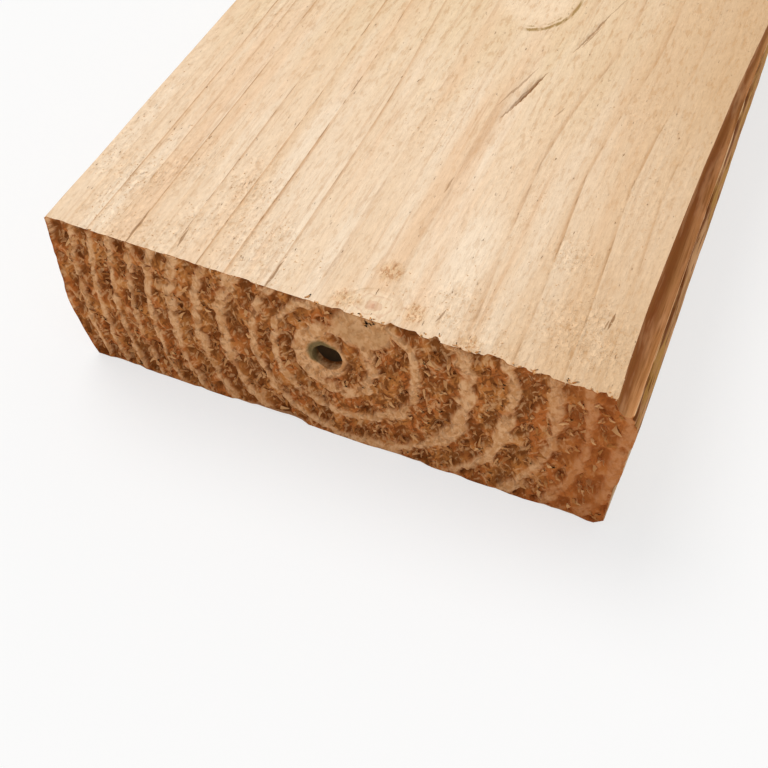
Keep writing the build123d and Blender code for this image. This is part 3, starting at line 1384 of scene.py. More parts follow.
@dataclass(frozen=True)
class SawnFaceFinish:
    """The pale sawn face, with thin dark year lines, woolly fibres and small nicks."""

    name: str = "sawn_face"
    pale: tuple[float, ...] = shade(249, 220, 187)
    cream: tuple[float, ...] = shade(254, 231, 203)
    peach: tuple[float, ...] = shade(246, 208, 170)
    # Painted shade: the tan that the top face turns towards its right edge, where less light falls
    tan: tuple[float, ...] = shade(236, 197, 155)
    falloff_shade_tan: tuple[float, ...] = shade(221, 183, 141)
    line: tuple[float, ...] = shade(201, 150, 104)
    crack: tuple[float, ...] = shade(146, 100, 62)
    nick: tuple[float, ...] = shade(160, 112, 70)
    # Brown for mottled tone and for painted shade between the raised fibres of woolly patches
    mottle_and_fuzz_shade: tuple[float, ...] = shade(204, 152, 98)
    tuft: tuple[float, ...] = shade(186, 118, 66)
    wool: tuple[float, ...] = shade(230, 184, 130)
    straw: tuple[float, ...] = shade(242, 213, 174)
    knot: tuple[float, ...] = shade(252, 224, 190)
    knot_heart: tuple[float, ...] = shade(210, 154, 122)
    knot_rim: tuple[float, ...] = shade(166, 130, 72)
    # Painted shade inside the thin splits
    split: tuple[float, ...] = shade(150, 104, 62)
    torn: tuple[float, ...] = shade(182, 116, 58)
    # A factor on the whole colour; below 1 it darkens a copy for the edges, which on the right edge is
    # painted shade
    darken: float = 1.0
    # The top face's height, and the middle of its brightest patch: right, from the end
    top: float = 47.0
    bright: tuple[float, float] = (24.0, 30.0)
    bright_shrink: tuple[float, float, float] = (0.12, 0.042, 0.1)
    # Small rubbed tufts round the knot at the near end: right, from the end, radius
    tufts: tuple[tuple[float, float, float], ...] = (
        (9.0, 16.5, 4.4),
        (2.6, 4.2, 4.2),
        (19.0, 6.0, 4.4),
        (33.5, 2.5, 3.0),
    )
    # Thin splits in the top face, painted as the shade inside them: right, from the end, length, width,
    # turn, strength
    splits: tuple[tuple[float, float, float, float, float, float], ...] = (
        (16.9, 94.5, 27.0, 1.2, 12.5, 0.6),
        (17.7, 97.5, 17.0, 0.65, 12.5, 0.8),
        (14.2, 97.0, 23.0, 0.6, 14.5, 0.5),
        (26.0, 130.5, 26.0, 0.7, 11.5, 0.6),
        (26.3, 128.0, 13.0, 0.5, 11.5, 0.6),
        (29.6, 147.0, 12.0, 0.4, 14.0, 0.4),
        (28.0, 91.0, 5.0, 0.5, 18.0, 0.45),
        (11.0, 51.0, 7.0, 0.5, 2.0, 0.5),
        (-15.5, 5.0, 10.0, 0.6, 3.0, 0.7),
        (-40.5, 7.0, 7.0, 0.6, -3.0, 0.7),
        (-52.4, 6.0, 14.0, 0.7, -1.0, 0.6),
        (24.8, 8.0, 5.0, 0.5, 10.0, 0.6),
        (61.0, 22.0, 6.0, 0.6, 3.0, 0.8),
        (60.2, 20.5, 3.5, 0.5, 3.0, 0.7),
    )

    def _split_shade(
        self,
        sheet: FinishSheet,
        right: Wire,
        along: Wire,
        one: Sequence[float],
        wander: Wire,
    ) -> Wire:
        """Where a thin split shows, as a pointed sliver of painted shade that stands in for the shade
        inside it.

        Args:
            sheet: the material's tree.
            right: the place across the width.
            along: the distance from the near end.
            one: the split's place, length, width, turn and strength.
            wander: noise that keeps its sides from being smooth.

        Returns:
            The share of the split's colour.
        """
        centre, from_end, long, wide, turn, strength = one
        lean = radians(turn)
        aside = (right - centre) * cos(lean) - (along - from_end) * sin(lean)
        aside = aside + (wander - 0.5) * 0.9
        ahead = (right - centre) * sin(lean) + (along - from_end) * cos(lean)
        fullness = (1.0 - (ahead * (2.0 / long)) ** 2).most(0.0)
        off = aside.most(aside * -1.0) - fullness * (wide / 2)
        top = sheet.axis("Z").rise(40.0, 42.0)
        return (1.0 - off.rise(-0.12, 0.12)) * fullness.rise(0.0, 0.15) * top * strength

    def _wood(self, sheet: FinishSheet, wavy: Wire, far: Wire) -> Wire:
        """The clear wood's colour between and along the year lines.

        Args:
            sheet: the material's tree.
            wavy: slow noise that makes the lines waver.
            far: 0 at the near end, where the wood is pinker, and 1 further along.

        Returns:
            The colour.
        """
        age = sheet.value("age") + (wavy - 0.5) * 0.10
        bold = sheet.value("bold")
        share = age.fraction()
        late = share.rise(0.45, 0.95) * (1.0 - share.rise(0.965, 1.0))
        line = share.rise(0.87, 0.96) * (1.0 - share.rise(0.972, 1.0))
        broad = sheet.noise((7.0, 70.0, 7.0), 2.0, 0.5, 1.0)
        warm = sheet.noise((6.5, 120.0, 6.5), 3.0, 0.55, 12.0)
        base = sheet.blend(far * 0.8, self.pale, self.straw)
        colour = sheet.blend(broad.rise(0.40, 0.70) * (0.9 - 0.5 * far), base, self.cream)
        colour = sheet.blend(warm.rise(0.46, 0.68) * (0.75 - 0.35 * far), colour, self.peach)
        colour = sheet.blend(late * (0.08 + 0.45 * bold), colour, self.tan)
        fading = sheet.noise((6.0, 30.0, 6.0), 2.0, 0.5, 8.0).rise(0.36, 0.60)
        colour = sheet.blend(line * bold * (0.12 + 0.75 * fading), colour, self.line)
        thread = sheet.noise((1.5, 95.0, 1.5), 2.0, 0.6, 47.0).rise(0.57, 0.66)
        colour = sheet.blend(thread * (0.07 + 0.20 * fading), colour, self.line)
        dash = sheet.noise((1.2, 7.5, 1.2), 2.0, 0.5, 27.0).rise(0.52, 0.62)
        core = share.rise(0.935, 0.965) * (1.0 - share.rise(0.970, 0.99))
        return sheet.blend(core * dash * bold * 0.8, colour, self.crack)

    def _knots(self, sheet: FinishSheet, colour: Wire, streak: Wire) -> Wire:
        """Lays the knots over the clear wood.

        Args:
            sheet: the material's tree.
            colour: the clear wood's colour.
            streak: fine noise along the grain.

        Returns:
            The colour.
        """
        knot = sheet.value("knot")
        inside = 1.0 - knot.rise(0.62, 1.04)
        swirl = sheet.noise((4.0, 4.0, 4.0), 2.0, 0.6, 71.0)
        rings = ((knot * 3.0) + (swirl - 0.5) * 2.4).fraction().rise(0.55, 0.95)
        heart = 1.0 - (knot + (swirl - 0.5) * 0.8).rise(0.05, 0.36)
        knot_shade = (rings * 0.34 + heart * 0.95) * (0.1 + 0.9 * sheet.value("heart"))
        knot_colour = sheet.blend(knot_shade, self.knot, self.knot_heart)
        colour = sheet.blend(inside * 0.9, colour, knot_colour)
        uneven = knot + (streak - 0.5) * 0.08
        broken = sheet.noise((2.0, 4.0, 2.0), 2.0, 0.5, 41.0)
        outer = uneven.rise(0.935, 0.965) * (1.0 - uneven.rise(1.0, 1.05))
        inner = uneven.rise(0.86, 0.89) * (1.0 - uneven.rise(0.90, 0.92))
        inner = inner * broken.rise(0.45, 0.55)
        rim = (outer * (0.45 + 0.55 * broken.rise(0.38, 0.50))).most(inner * 0.7)
        return sheet.blend(rim * sheet.value("rim") * 0.9, colour, self.knot_rim)

    def _rubbed_tufts(self, sheet: FinishSheet, colour: Wire, mottle: Wire, near: float) -> Wire:
        """Lays the rubbed tufts near the small knot over the wood.

        Args:
            sheet: the material's tree.
            colour: the wood's colour.
            mottle: noise that makes the tufts' outlines uneven.
            near: the near end's place along the grain, in millimetres.

        Returns:
            The colour.
        """
        tangle = sheet.noise((0.9, 1.3, 0.9), 3.0, 0.6, 61.0).rise(0.49, 0.41)
        for centre, from_end, radius in self.tufts:
            away = sheet.distance((centre, near + from_end, self.top))
            tuft = (away + (mottle - 0.5) * 6.0).rise(radius, 0.4 * radius)
            colour = sheet.blend(tuft * 0.35, colour, self.wool)
            colour = sheet.blend(tuft * tangle * 0.55, colour, self.tuft)
        return colour

    def coat(self, sheet: FinishSheet, near: float) -> tuple[Wire, Wire]:
        """The sawn wood's colour and height.

        Args:
            sheet: the material's tree.
            near: the near end's place along the grain, in millimetres.

        Returns:
            The colour, and the height for the bump.
        """
        wavy = sheet.noise((5.0, 60.0, 5.0), 2.0, 0.5, 3.0)
        streak = sheet.noise((0.6, 14.0, 0.6), 3.0, 0.6, 2.0)
        right = sheet.axis("X")
        along = sheet.axis("Y") - near
        ending = 1.0 - along.rise(0.0, 60.0)
        far = along.rise(55.0, 125.0)
        colour = self._wood(sheet, wavy, far)
        # Painted shade: the face darkens towards its right edge, more at the near end and further along
        falloff_shade = right.rise(10.0, 78.0) * (0.62 + 0.30 * ending + 0.35 * far)
        colour = sheet.blend(falloff_shade, colour, self.falloff_shade_tan)
        offset = sheet.shifted(sheet.place_mm, (-self.bright[0], -near - self.bright[1], -self.top))
        inputs = [sheet.scaled(offset, self.bright_shrink)]
        reach = sheet.add("ShaderNodeVectorMath", {"operation": "LENGTH"}, inputs, "Value")
        colour = sheet.blend((1.0 - reach.rise(0.2, 1.15)) * 0.85, colour, self.cream)
        colour = self._knots(sheet, colour, streak)
        fuzz = sheet.value("fuzz")
        wool = sheet.noise((1.1, 1.9, 1.1), 3.0, 0.6, 11.0)
        mottle = sheet.noise((1.3, 5.5, 1.3), 3.0, 0.65, 33.0)
        colour = sheet.blend(streak.rise(0.52, 0.74) * 0.30, colour, self.tan)
        colour = sheet.blend(mottle.rise(0.47, 0.36) * (0.22 + 0.12 * far), colour, self.mottle_and_fuzz_shade)
        colour = self._rubbed_tufts(sheet, colour, mottle, near)
        # Painted shade between raised fibres and painted highlights on them, where the same noise
        # raises the bump; the mottle adds tone
        colour = sheet.blend(wool.rise(0.44, 0.35) * (0.06 + 0.42 * fuzz), colour, self.mottle_and_fuzz_shade)
        mottle_and_fuzz_highlight = mottle.rise(0.50, 0.66) * 0.05 + wool.rise(0.52, 0.64) * (0.03 + 0.16 * fuzz)
        colour = sheet.lift(colour, mottle_and_fuzz_highlight + 1.0)
        nicks = sheet.noise((0.6, 2.4, 0.6), 1.5, 0.5, 21.0) + fuzz * 0.03
        colour = sheet.blend(nicks.rise(0.76, 0.81) * 0.8, colour, self.nick)
        hollow = sheet.value("hollow")
        at_the_end = ending.rise(0.97, 0.99)
        colour = sheet.blend(hollow.rise(0.35, 0.8) * 0.8 * at_the_end, colour, self.torn)
        wander = sheet.noise((2.5, 5.0, 2.5), 2.0, 0.5, 37.0)
        # Painted shade inside the thin splits
        for one in self.splits:
            colour = sheet.blend(self._split_shade(sheet, right, along, one, wander), colour, self.split)
        # Darkens copies for the edges; on the right edge this is painted shade
        colour = sheet.lift(colour, self.darken)
        height = wool * (0.5 + 1.0 * fuzz) + streak * 0.3 + mottle * 0.4 - nicks.rise(0.72, 0.80) * 0.4
        return colour, height

    def build(self, near: float) -> bpy.types.Material:
        """Makes the material.

        Args:
            near: the near end's place along the grain, in millimetres.

        Returns:
            The material.
        """
        sheet = FinishSheet(self.name)
        colour, height = self.coat(sheet, near)
        return sheet.finish(colour, 0.78, height, 0.8, 0.8)


@dataclass(frozen=True)
class TornEndFinish:
    """End grain torn by the crosscut: brown, fibrous early wood between paler late wood."""

    name: str = "torn_end"
    band: tuple[float, ...] = shade(238, 186, 136)
    band_worn: tuple[float, ...] = shade(212, 152, 98)
    torn: tuple[float, ...] = shade(200, 128, 64)
    # Dark brown for painted shade in deep torn pits and between torn fibres, for the shadowy blotches
    # and for the ring arcs beside the pith
    deep: tuple[float, ...] = shade(120, 66, 24)
    rust: tuple[float, ...] = shade(188, 106, 48)
    fleck: tuple[float, ...] = shade(240, 188, 134)
    stain: tuple[float, ...] = shade(96, 86, 50)
    knot: tuple[float, ...] = shade(200, 150, 100)
    # A torn fibre's size across, into and along itself, and how its run bends
    fibre_size: tuple[float, float, float] = (1.15, 2.2, 3.0)
    bend: float = 2.2
    bend_pace: float = 0.22

    def _flecks(self, sheet: FinishSheet, turn: float, seed: float) -> Wire:
        """Short torn fibres that all lean about one way.

        Args:
            sheet: the material's tree.
            turn: their lean from upright, in degrees.
            seed: moves to another part of the noise.

        Returns:
            Values round 0.5.
        """
        settings = {"noise_dimensions": "3D"}
        slow = sheet.scaled(sheet.place_mm, (self.bend_pace,) * 3)
        inputs = {"Vector": slow, "Scale": 1.0, "Detail": 1.0}
        bend = sheet.add("ShaderNodeTexNoise", settings, inputs, "Color")
        bent = sheet.add(
            "ShaderNodeVectorMath",
            {"operation": "MULTIPLY_ADD"},
            [bend, (self.bend,) * 3, sheet.place_mm],
        )
        turned = sheet.add(
            "ShaderNodeVectorRotate",
            {"rotation_type": "Y_AXIS"},
            {"Vector": bent, "Angle": radians(turn)},
        )
        stretched = sheet.scaled(turned, [1.0 / size for size in self.fibre_size])
        moved = sheet.shifted(stretched, (seed, 0.0, seed))
        inputs = {"Vector": moved, "Scale": 1.0, "Detail": 2.0, "Roughness": 0.55}
        return sheet.add("ShaderNodeTexNoise", settings, inputs)

    def build(self, rings: GrowthRings) -> bpy.types.Material:
        """Makes the material.

        Args:
            rings: gives the pith's place.

        Returns:
            The material.
        """
        sheet = FinishSheet(self.name)
        late = sheet.value("late")
        hollow = sheet.value("hollow")
        blotch = sheet.noise((5.5, 5.5, 5.5), 2.0, 0.6, 4.0)
        shadowy = sheet.noise((4.5, 4.5, 8.0), 3.0, 0.6, 51.0)
        grit = sheet.noise((1.1, 1.1, 1.6), 3.0, 0.6, 9.0)
        leaning_left = self._flecks(sheet, 24.0, 3.0)
        leaning_right = self._flecks(sheet, -38.0, 30.0)
        fibre = leaning_left.most(leaning_right)
        gap = leaning_left.least(leaning_right)
        right = sheet.axis("X")
        colour = sheet.blend(blotch.rise(0.38, 0.62), self.torn, self.rust)
        # Painted shade: the deeper the torn end, the darker
        colour = sheet.blend(hollow.rise(0.5, 1.8) * 0.75, colour, self.deep)
        colour = sheet.blend(shadowy.rise(0.48, 0.66) * 0.58, colour, self.deep)
        band = sheet.blend(grit.rise(0.40, 0.62), self.band, self.band_worn)
        colour = sheet.blend(late.rise(0.05, 0.80) * 0.92, colour, band)
        # Painted shade in the sunken gaps between torn fibres
        colour = sheet.blend(gap.rise(0.45, 0.33) * (0.78 - 0.5 * late), colour, self.deep)
        colour = sheet.blend(fibre.rise(0.55, 0.69) * (0.54 - 0.44 * late), colour, self.fleck)
        colour = sheet.blend(sheet.value("heart") * blotch.rise(0.25, 0.65) * 0.6, colour, self.knot)
        colour = sheet.blend(right.rise(48.0, 66.0) * 0.65, colour, self.rust)
        away = sheet.distance((rings.pith_right, rings.near, rings.pith_height))
        arc = (away * 0.55 + (blotch - 0.5) * 0.9).fraction().rise(0.35, 0.75)
        beside_pith = right.rise(0.0, 5.0) * away.rise(11.0, 8.5)
        colour = sheet.blend(arc * beside_pith * 0.35, colour, self.deep)
        stained = (rings.pith_right - 1.0, rings.near, rings.pith_height + 0.8)
        edge = sheet.distance(stained) + (blotch - 0.5) * 1.2
        colour = sheet.blend((1.0 - edge.rise(3.7, 4.9)) * 0.85, colour, self.stain)
        height = fibre * 0.8 - gap.rise(0.42, 0.30) * 0.4
        return sheet.finish(colour, 0.85, height, 0.5, 0.5)


@dataclass(frozen=True)
class TornArrisFinish:
    """The smooth brown gutter and the fibrous edge beside it, with painted shade on the gutter's steep
    wall and in the crack, and a painted highlight on the lip.
    """

    name: str = "torn_arris"
    # Painted shade on the gutter's steep wall under the arris
    wall: tuple[float, ...] = shade(158, 96, 50)
    base: tuple[float, ...] = shade(206, 150, 98)
    dark: tuple[float, ...] = shade(160, 106, 58)
    light: tuple[float, ...] = shade(230, 178, 128)
    # Painted highlight along the gutter's lip
    lip: tuple[float, ...] = shade(248, 204, 152)
    olive: tuple[float, ...] = shade(192, 140, 66)
    # Dark brown for thin splits, and for painted shade in the crack below the lip and where the relief
    # is deepest
    crack: tuple[float, ...] = shade(122, 64, 16)
    fibrous: float = 0.0

    def build(self, near: float) -> bpy.types.Material:
        """Makes the material.

        Args:
            near: the near end's place along the grain, in millimetres.

        Returns:
            The material.
        """
        sheet = FinishSheet(self.name)
        strands = sheet.noise((0.8, 24.0, 1.0), 4.0, 0.6, 7.0)
        patch = sheet.noise((4.0, 18.0, 4.0), 3.0, 0.6, 9.0)
        floor = sheet.value("late")
        colour = sheet.blend(strands.rise(0.32, 0.62), self.dark, self.base)
        if not self.fibrous:
            # Painted shade: the steep wall under the arris is darker than the gutter's floor
            shaded_wall = 1.0 - (floor + (patch - 0.5) * 0.3).rise(0.30, 0.62)
            colour = sheet.blend(shaded_wall * 0.9, colour, self.wall)
        colour = sheet.blend(patch.rise(0.50, 0.68) * 0.5, colour, self.light)
        olive_share = 0.15 + 0.65 * self.fibrous
        colour = sheet.blend(patch.rise(0.56, 0.40) * olive_share, colour, self.olive)
        split = sheet.noise((0.8, 9.0, 0.8), 2.0, 0.5, 13.0).rise(0.60, 0.67) * self.fibrous
        colour = sheet.blend(split * 0.8, colour, self.crack)
        wavering = floor + (strands - 0.5) * 0.14
        if self.fibrous:
            # Painted shade in the crack below the lip, over the flank's groove
            open_here = sheet.noise((6.0, 13.0, 6.0), 2.0, 0.5, 31.0).rise(0.40, 0.52)
            crack = wavering.rise(0.14, 0.22) * (1.0 - wavering.rise(0.34, 0.46))
            colour = sheet.blend(crack * (0.25 + 0.7 * open_here), colour, self.crack)
            # Painted highlight on the lip, at the flank's top
            colour = sheet.blend((1.0 - wavering.rise(0.06, 0.18)) * 0.85, colour, self.lip)
            # Painted shade: the deeper the flank's relief, the darker
            colour = sheet.blend(sheet.value("hollow").rise(0.50, 1.0) * 0.8, colour, self.crack)
        else:
            # Painted highlight on the lip, at the gutter's edge
            colour = sheet.blend(wavering.rise(0.80, 0.95) * 0.85, colour, self.lip)
        height = strands * 0.8 + patch * 0.2 - split
        if self.fibrous:
            # Painted shade: the edge's sawn part is the face's finish darkened, as the edge gets less
            # light
            sawn, sawn_height = SawnFaceFinish(darken=0.86).coat(sheet, near)
            along = sheet.axis("Y") - near
            whole = (along + (strands - 0.5) * 260.0).rise(250.0, 470.0)
            whole = whole.most((sheet.axis("Z") + (strands - 0.5) * 14.0).rise(35.0, 27.0))
            colour = sheet.blend(whole, colour, sawn)
            height = height * (1.0 - whole) + sawn_height * whole
        return sheet.finish(colour, 0.74, height, 0.4 + 0.4 * self.fibrous, 0.5)


@dataclass(frozen=True)
class HollowPithFinish:
    """The decayed inside of the pith: dark at the mouth, and painted paler further in as painted light,
    since the deep hole gets little light.
    """

    name: str = "hollow_pith"
    mouth: tuple[float, ...] = shade(66, 50, 34)
    # Painted light: a paler colour deep in the hole, where little light reaches
    inside: tuple[float, ...] = shade(176, 140, 100)

    def build(self) -> bpy.types.Material:
        """Makes the material.

        Returns:
            The material.
        """
        sheet = FinishSheet(self.name)
        crumb = sheet.noise((1.1, 2.0, 1.1), 3.0, 0.6, 14.0)
        # Painted light: paler the deeper in the hole
        deep = (sheet.value("hollow") + crumb).rise(2.0, 12.0)
        colour = sheet.blend(deep, self.mouth, self.inside)
        return sheet.finish(colour, 0.9, crumb, 0.4, 0.5)


@dataclass(frozen=True)
class FibreFinish:
    """Loose fibres, each a little lighter or darker than the next."""

    name: str = "loose_fibre"
    pale: tuple[float, ...] = shade(228, 174, 118)
    brown: tuple[float, ...] = shade(178, 112, 54)

    def build(self) -> bpy.types.Material:
        """Makes the material.

        Returns:
            The material.
        """
        sheet = FinishSheet(self.name)
        tint = sheet.value("tint")
        colour = sheet.blend(tint, self.brown, self.pale)
        grain = sheet.noise((0.3, 0.8, 0.3), 2.0, 0.5, 5.0)
        colour = sheet.lift(colour, 0.9 + 0.2 * grain)
        return sheet.finish(colour, 0.8, grain, 0.1, 0.3)


# Loose fibres


@dataclass(frozen=True)
class FibreCoat:
    """Short slivers scattered over part of the skin, made by Geometry Nodes."""

    name: str
    zone: Zone
    thick_where: str
    per_square_cm: float
    length: float
    thickness: float
    lean: float
    spin: float
    reach: float
    seed: int
    # Whether the slivers start under the face, so that only their flanks show
    rooted_under: bool = False

    def _emitter(self, skin: bpy.types.Object) -> bpy.types.Object:
        """A copy of the skin's faces that carry the fibres.

        Args:
            skin: the plank's skin, with zone numbers as its material indices.

        Returns:
            The emitter, with a value called share on its faces.
        """
        mesh = skin.data
        count = len(mesh.polygons)
        zones = np.zeros(count, np.int32)
        mesh.polygons.foreach_get("material_index", zones)
        centres = np.zeros(count * 3)
        mesh.polygons.foreach_get("center", centres)
        along = centres.reshape(-1, 3)[:, 1] / MM - CAD_BOX[0][1] / MM
        chosen = (zones == self.zone.value) & (along < self.reach)
        corners = [list(mesh.polygons[int(index)].vertices) for index in np.nonzero(chosen)[0]]
        if self.rooted_under:
            corners = [corner[::-1] for corner in corners]
        used = sorted({number for corner in corners for number in corner})
        renumber = {number: place for place, number in enumerate(used)}
        amount = np.zeros(len(mesh.vertices), np.float32)
        mesh.attributes[self.thick_where].data.foreach_get("value", amount)
        places = [mesh.vertices[number].co.copy() for number in used]
        patch = bpy.data.meshes.new(self.name + "_emitter")
        corners = [[renumber[number] for number in corner] for corner in corners]
        patch.from_pydata(places, [], corners)
        share = patch.attributes.new("share", "FLOAT", "POINT")
        along = np.array([place[1] for place in places]) / MM - CAD_BOX[0][1] / MM
        fade = 1.0 - smooth_step(0.3 * self.reach, self.reach, along)
        share.data.foreach_set("value", (amount[used] * fade).astype(np.float32))
        emitter = bpy.data.objects.new(self.name + "_emitter", patch)
        bpy.context.scene.collection.objects.link(emitter)
        return emitter

    def _random(self, sheet: NodeSheet, low: Value, high: Value, seed: Wire) -> Wire:
        """A number or a vector that differs from sliver to sliver.

        Args:
            sheet: the tree.
            low: the least number or vector.
            high: the greatest number or vector.
            seed: the draw's seed.

        Returns:
            The draw.
        """
        kind = "FLOAT" if isinstance(low, float) else "FLOAT_VECTOR"
        inputs = {"Min": low, "Max": high, "Seed": seed}
        return sheet.add("FunctionNodeRandomValue", {"data_type": kind}, inputs)

    def _tree(self, material: bpy.types.Material) -> bpy.types.NodeTree:
        """The tree that sets slivers on the emitter's faces.

        Args:
            material: the fibres' finish.

        Returns:
            The tree.
        """
        tree = bpy.data.node_groups.new(self.name, "GeometryNodeTree")
        sheet = NodeSheet(tree)
        tree.interface.new_socket("Geometry", in_out="INPUT", socket_type="NodeSocketGeometry")
        for name in ("Density", "Length", "Thickness", "Lean", "Spin"):
            tree.interface.new_socket(name, in_out="INPUT", socket_type="NodeSocketFloat")
        tree.interface.new_socket("Seed", in_out="INPUT", socket_type="NodeSocketInt")
        tree.interface.new_socket("Geometry", in_out="OUTPUT", socket_type="NodeSocketGeometry")
        entry = sheet.place("NodeGroupInput")
        given = {one.name: Wire(sheet, one) for one in entry.outputs if one.name}
        share = sheet.add(
            "GeometryNodeInputNamedAttribute",
            {"data_type": "FLOAT"},
            {"Name": "share"},
            "Attribute",
        )
        scatter = sheet.place(
            "GeometryNodeDistributePointsOnFaces",
            {"distribute_method": "RANDOM"},
            {"Mesh": given["Geometry"], "Density": given["Density"] * share, "Seed": given["Seed"]},
        )
        sliver = sheet.add(
            "GeometryNodeMeshCone",
            {"fill_type": "TRIANGLE_FAN"},
            {
                "Vertices": 3,
                "Side Segments": 3,
                "Fill Segments": 1,
                "Radius Top": 0.12,
                "Radius Bottom": 0.5,
                "Depth": 1.0,
            },
            "Mesh",
        )
        spot = sheet.add("GeometryNodeInputPosition")
        height = sheet.add("ShaderNodeSeparateXYZ", {}, [spot], "Z")
        sweep = sheet.add("ShaderNodeCombineXYZ", {}, [height * height * 0.9, 0.0, -0.12])
        sliver = sheet.add("GeometryNodeSetPosition", {}, {"Geometry": sliver, "Offset": sweep})
        spread = self._random(sheet, (-1.0, -1.0, -1.0), (1.0, 1.0, 1.0), given["Seed"] + 1)
        most = [given["Lean"], given["Lean"] * 0.5, given["Spin"]]
        most = sheet.add("ShaderNodeCombineXYZ", {}, most)
        turn = sheet.add("ShaderNodeVectorMath", {"operation": "MULTIPLY"}, [spread, most])
        turn = sheet.add("FunctionNodeEulerToRotation", {}, [turn])
        facing = Wire(sheet, scatter.outputs["Rotation"])
        turn = sheet.add("FunctionNodeRotateRotation", {"rotation_space": "LOCAL"}, [facing, turn])
        size = self._random(sheet, 0.35, 1.0, given["Seed"] + 2)
        girth = self._random(sheet, 0.6, 1.3, given["Seed"] + 3)
        stretch = sheet.add(
            "ShaderNodeCombineXYZ",
            {},
            [given["Thickness"] * girth, given["Thickness"] * girth * 1.4, given["Length"] * size],
        )
        slivers = sheet.add(
            "GeometryNodeInstanceOnPoints",
            {},
            {
                "Points": Wire(sheet, scatter.outputs["Points"]),
                "Instance": sliver,
                "Rotation": turn,
                "Scale": stretch,
            },
        )
        tint = self._random(sheet, 0.0, 1.0, given["Seed"] + 4)
        slivers = sheet.add(
            "GeometryNodeStoreNamedAttribute",
            {"data_type": "FLOAT", "domain": "INSTANCE"},
            {"Geometry": slivers, "Name": "tint", "Value": tint},
        )
        slivers = sheet.add("GeometryNodeRealizeInstances", {}, {"Geometry": slivers})
        inputs = {"Geometry": slivers, "Material": material}
        slivers = sheet.add("GeometryNodeSetMaterial", {}, inputs)
        sheet.place("NodeGroupOutput", {}, [slivers])
        return tree

    def build(self, skin: bpy.types.Object, material: bpy.types.Material) -> bpy.types.Object:
        """Grows the fibres and keeps them as a plain mesh inside the CAD box.

        Args:
            skin: the plank's skin.
            material: the fibres' finish.

        Returns:
            The fibres' object.
        """
        emitter = self._emitter(skin)
        tree = self._tree(material)
        modifier = emitter.modifiers.new(self.name, "NODES")
        modifier.node_group = tree
        sizes = {
            "Density": self.per_square_cm * 1e4,
            "Length": self.length * MM,
            "Thickness": self.thickness * MM,
            "Lean": self.lean,
            "Spin": self.spin,
            "Seed": self.seed,
        }
        for item in tree.interface.items_tree:
            if item.in_out == "INPUT" and item.name in sizes:
                modifier[item.identifier] = sizes[item.name]
        graph = bpy.context.evaluated_depsgraph_get()
        mesh = bpy.data.meshes.new_from_object(emitter.evaluated_get(graph))
        bpy.data.objects.remove(emitter)
        places = np.zeros(len(mesh.vertices) * 3, np.float32)
        mesh.vertices.foreach_get("co", places)
        low, high = (np.array(corner, np.float32) for corner in CAD_BOX)
        inside = np.clip(places.reshape(-1, 3), low + 2e-5, high - 2e-5)
        mesh.vertices.foreach_set("co", inside.ravel())
        mesh.update()
        piece = bpy.data.objects.new(self.name, mesh)
        bpy.context.scene.collection.objects.link(piece)
        return piece


# The studio


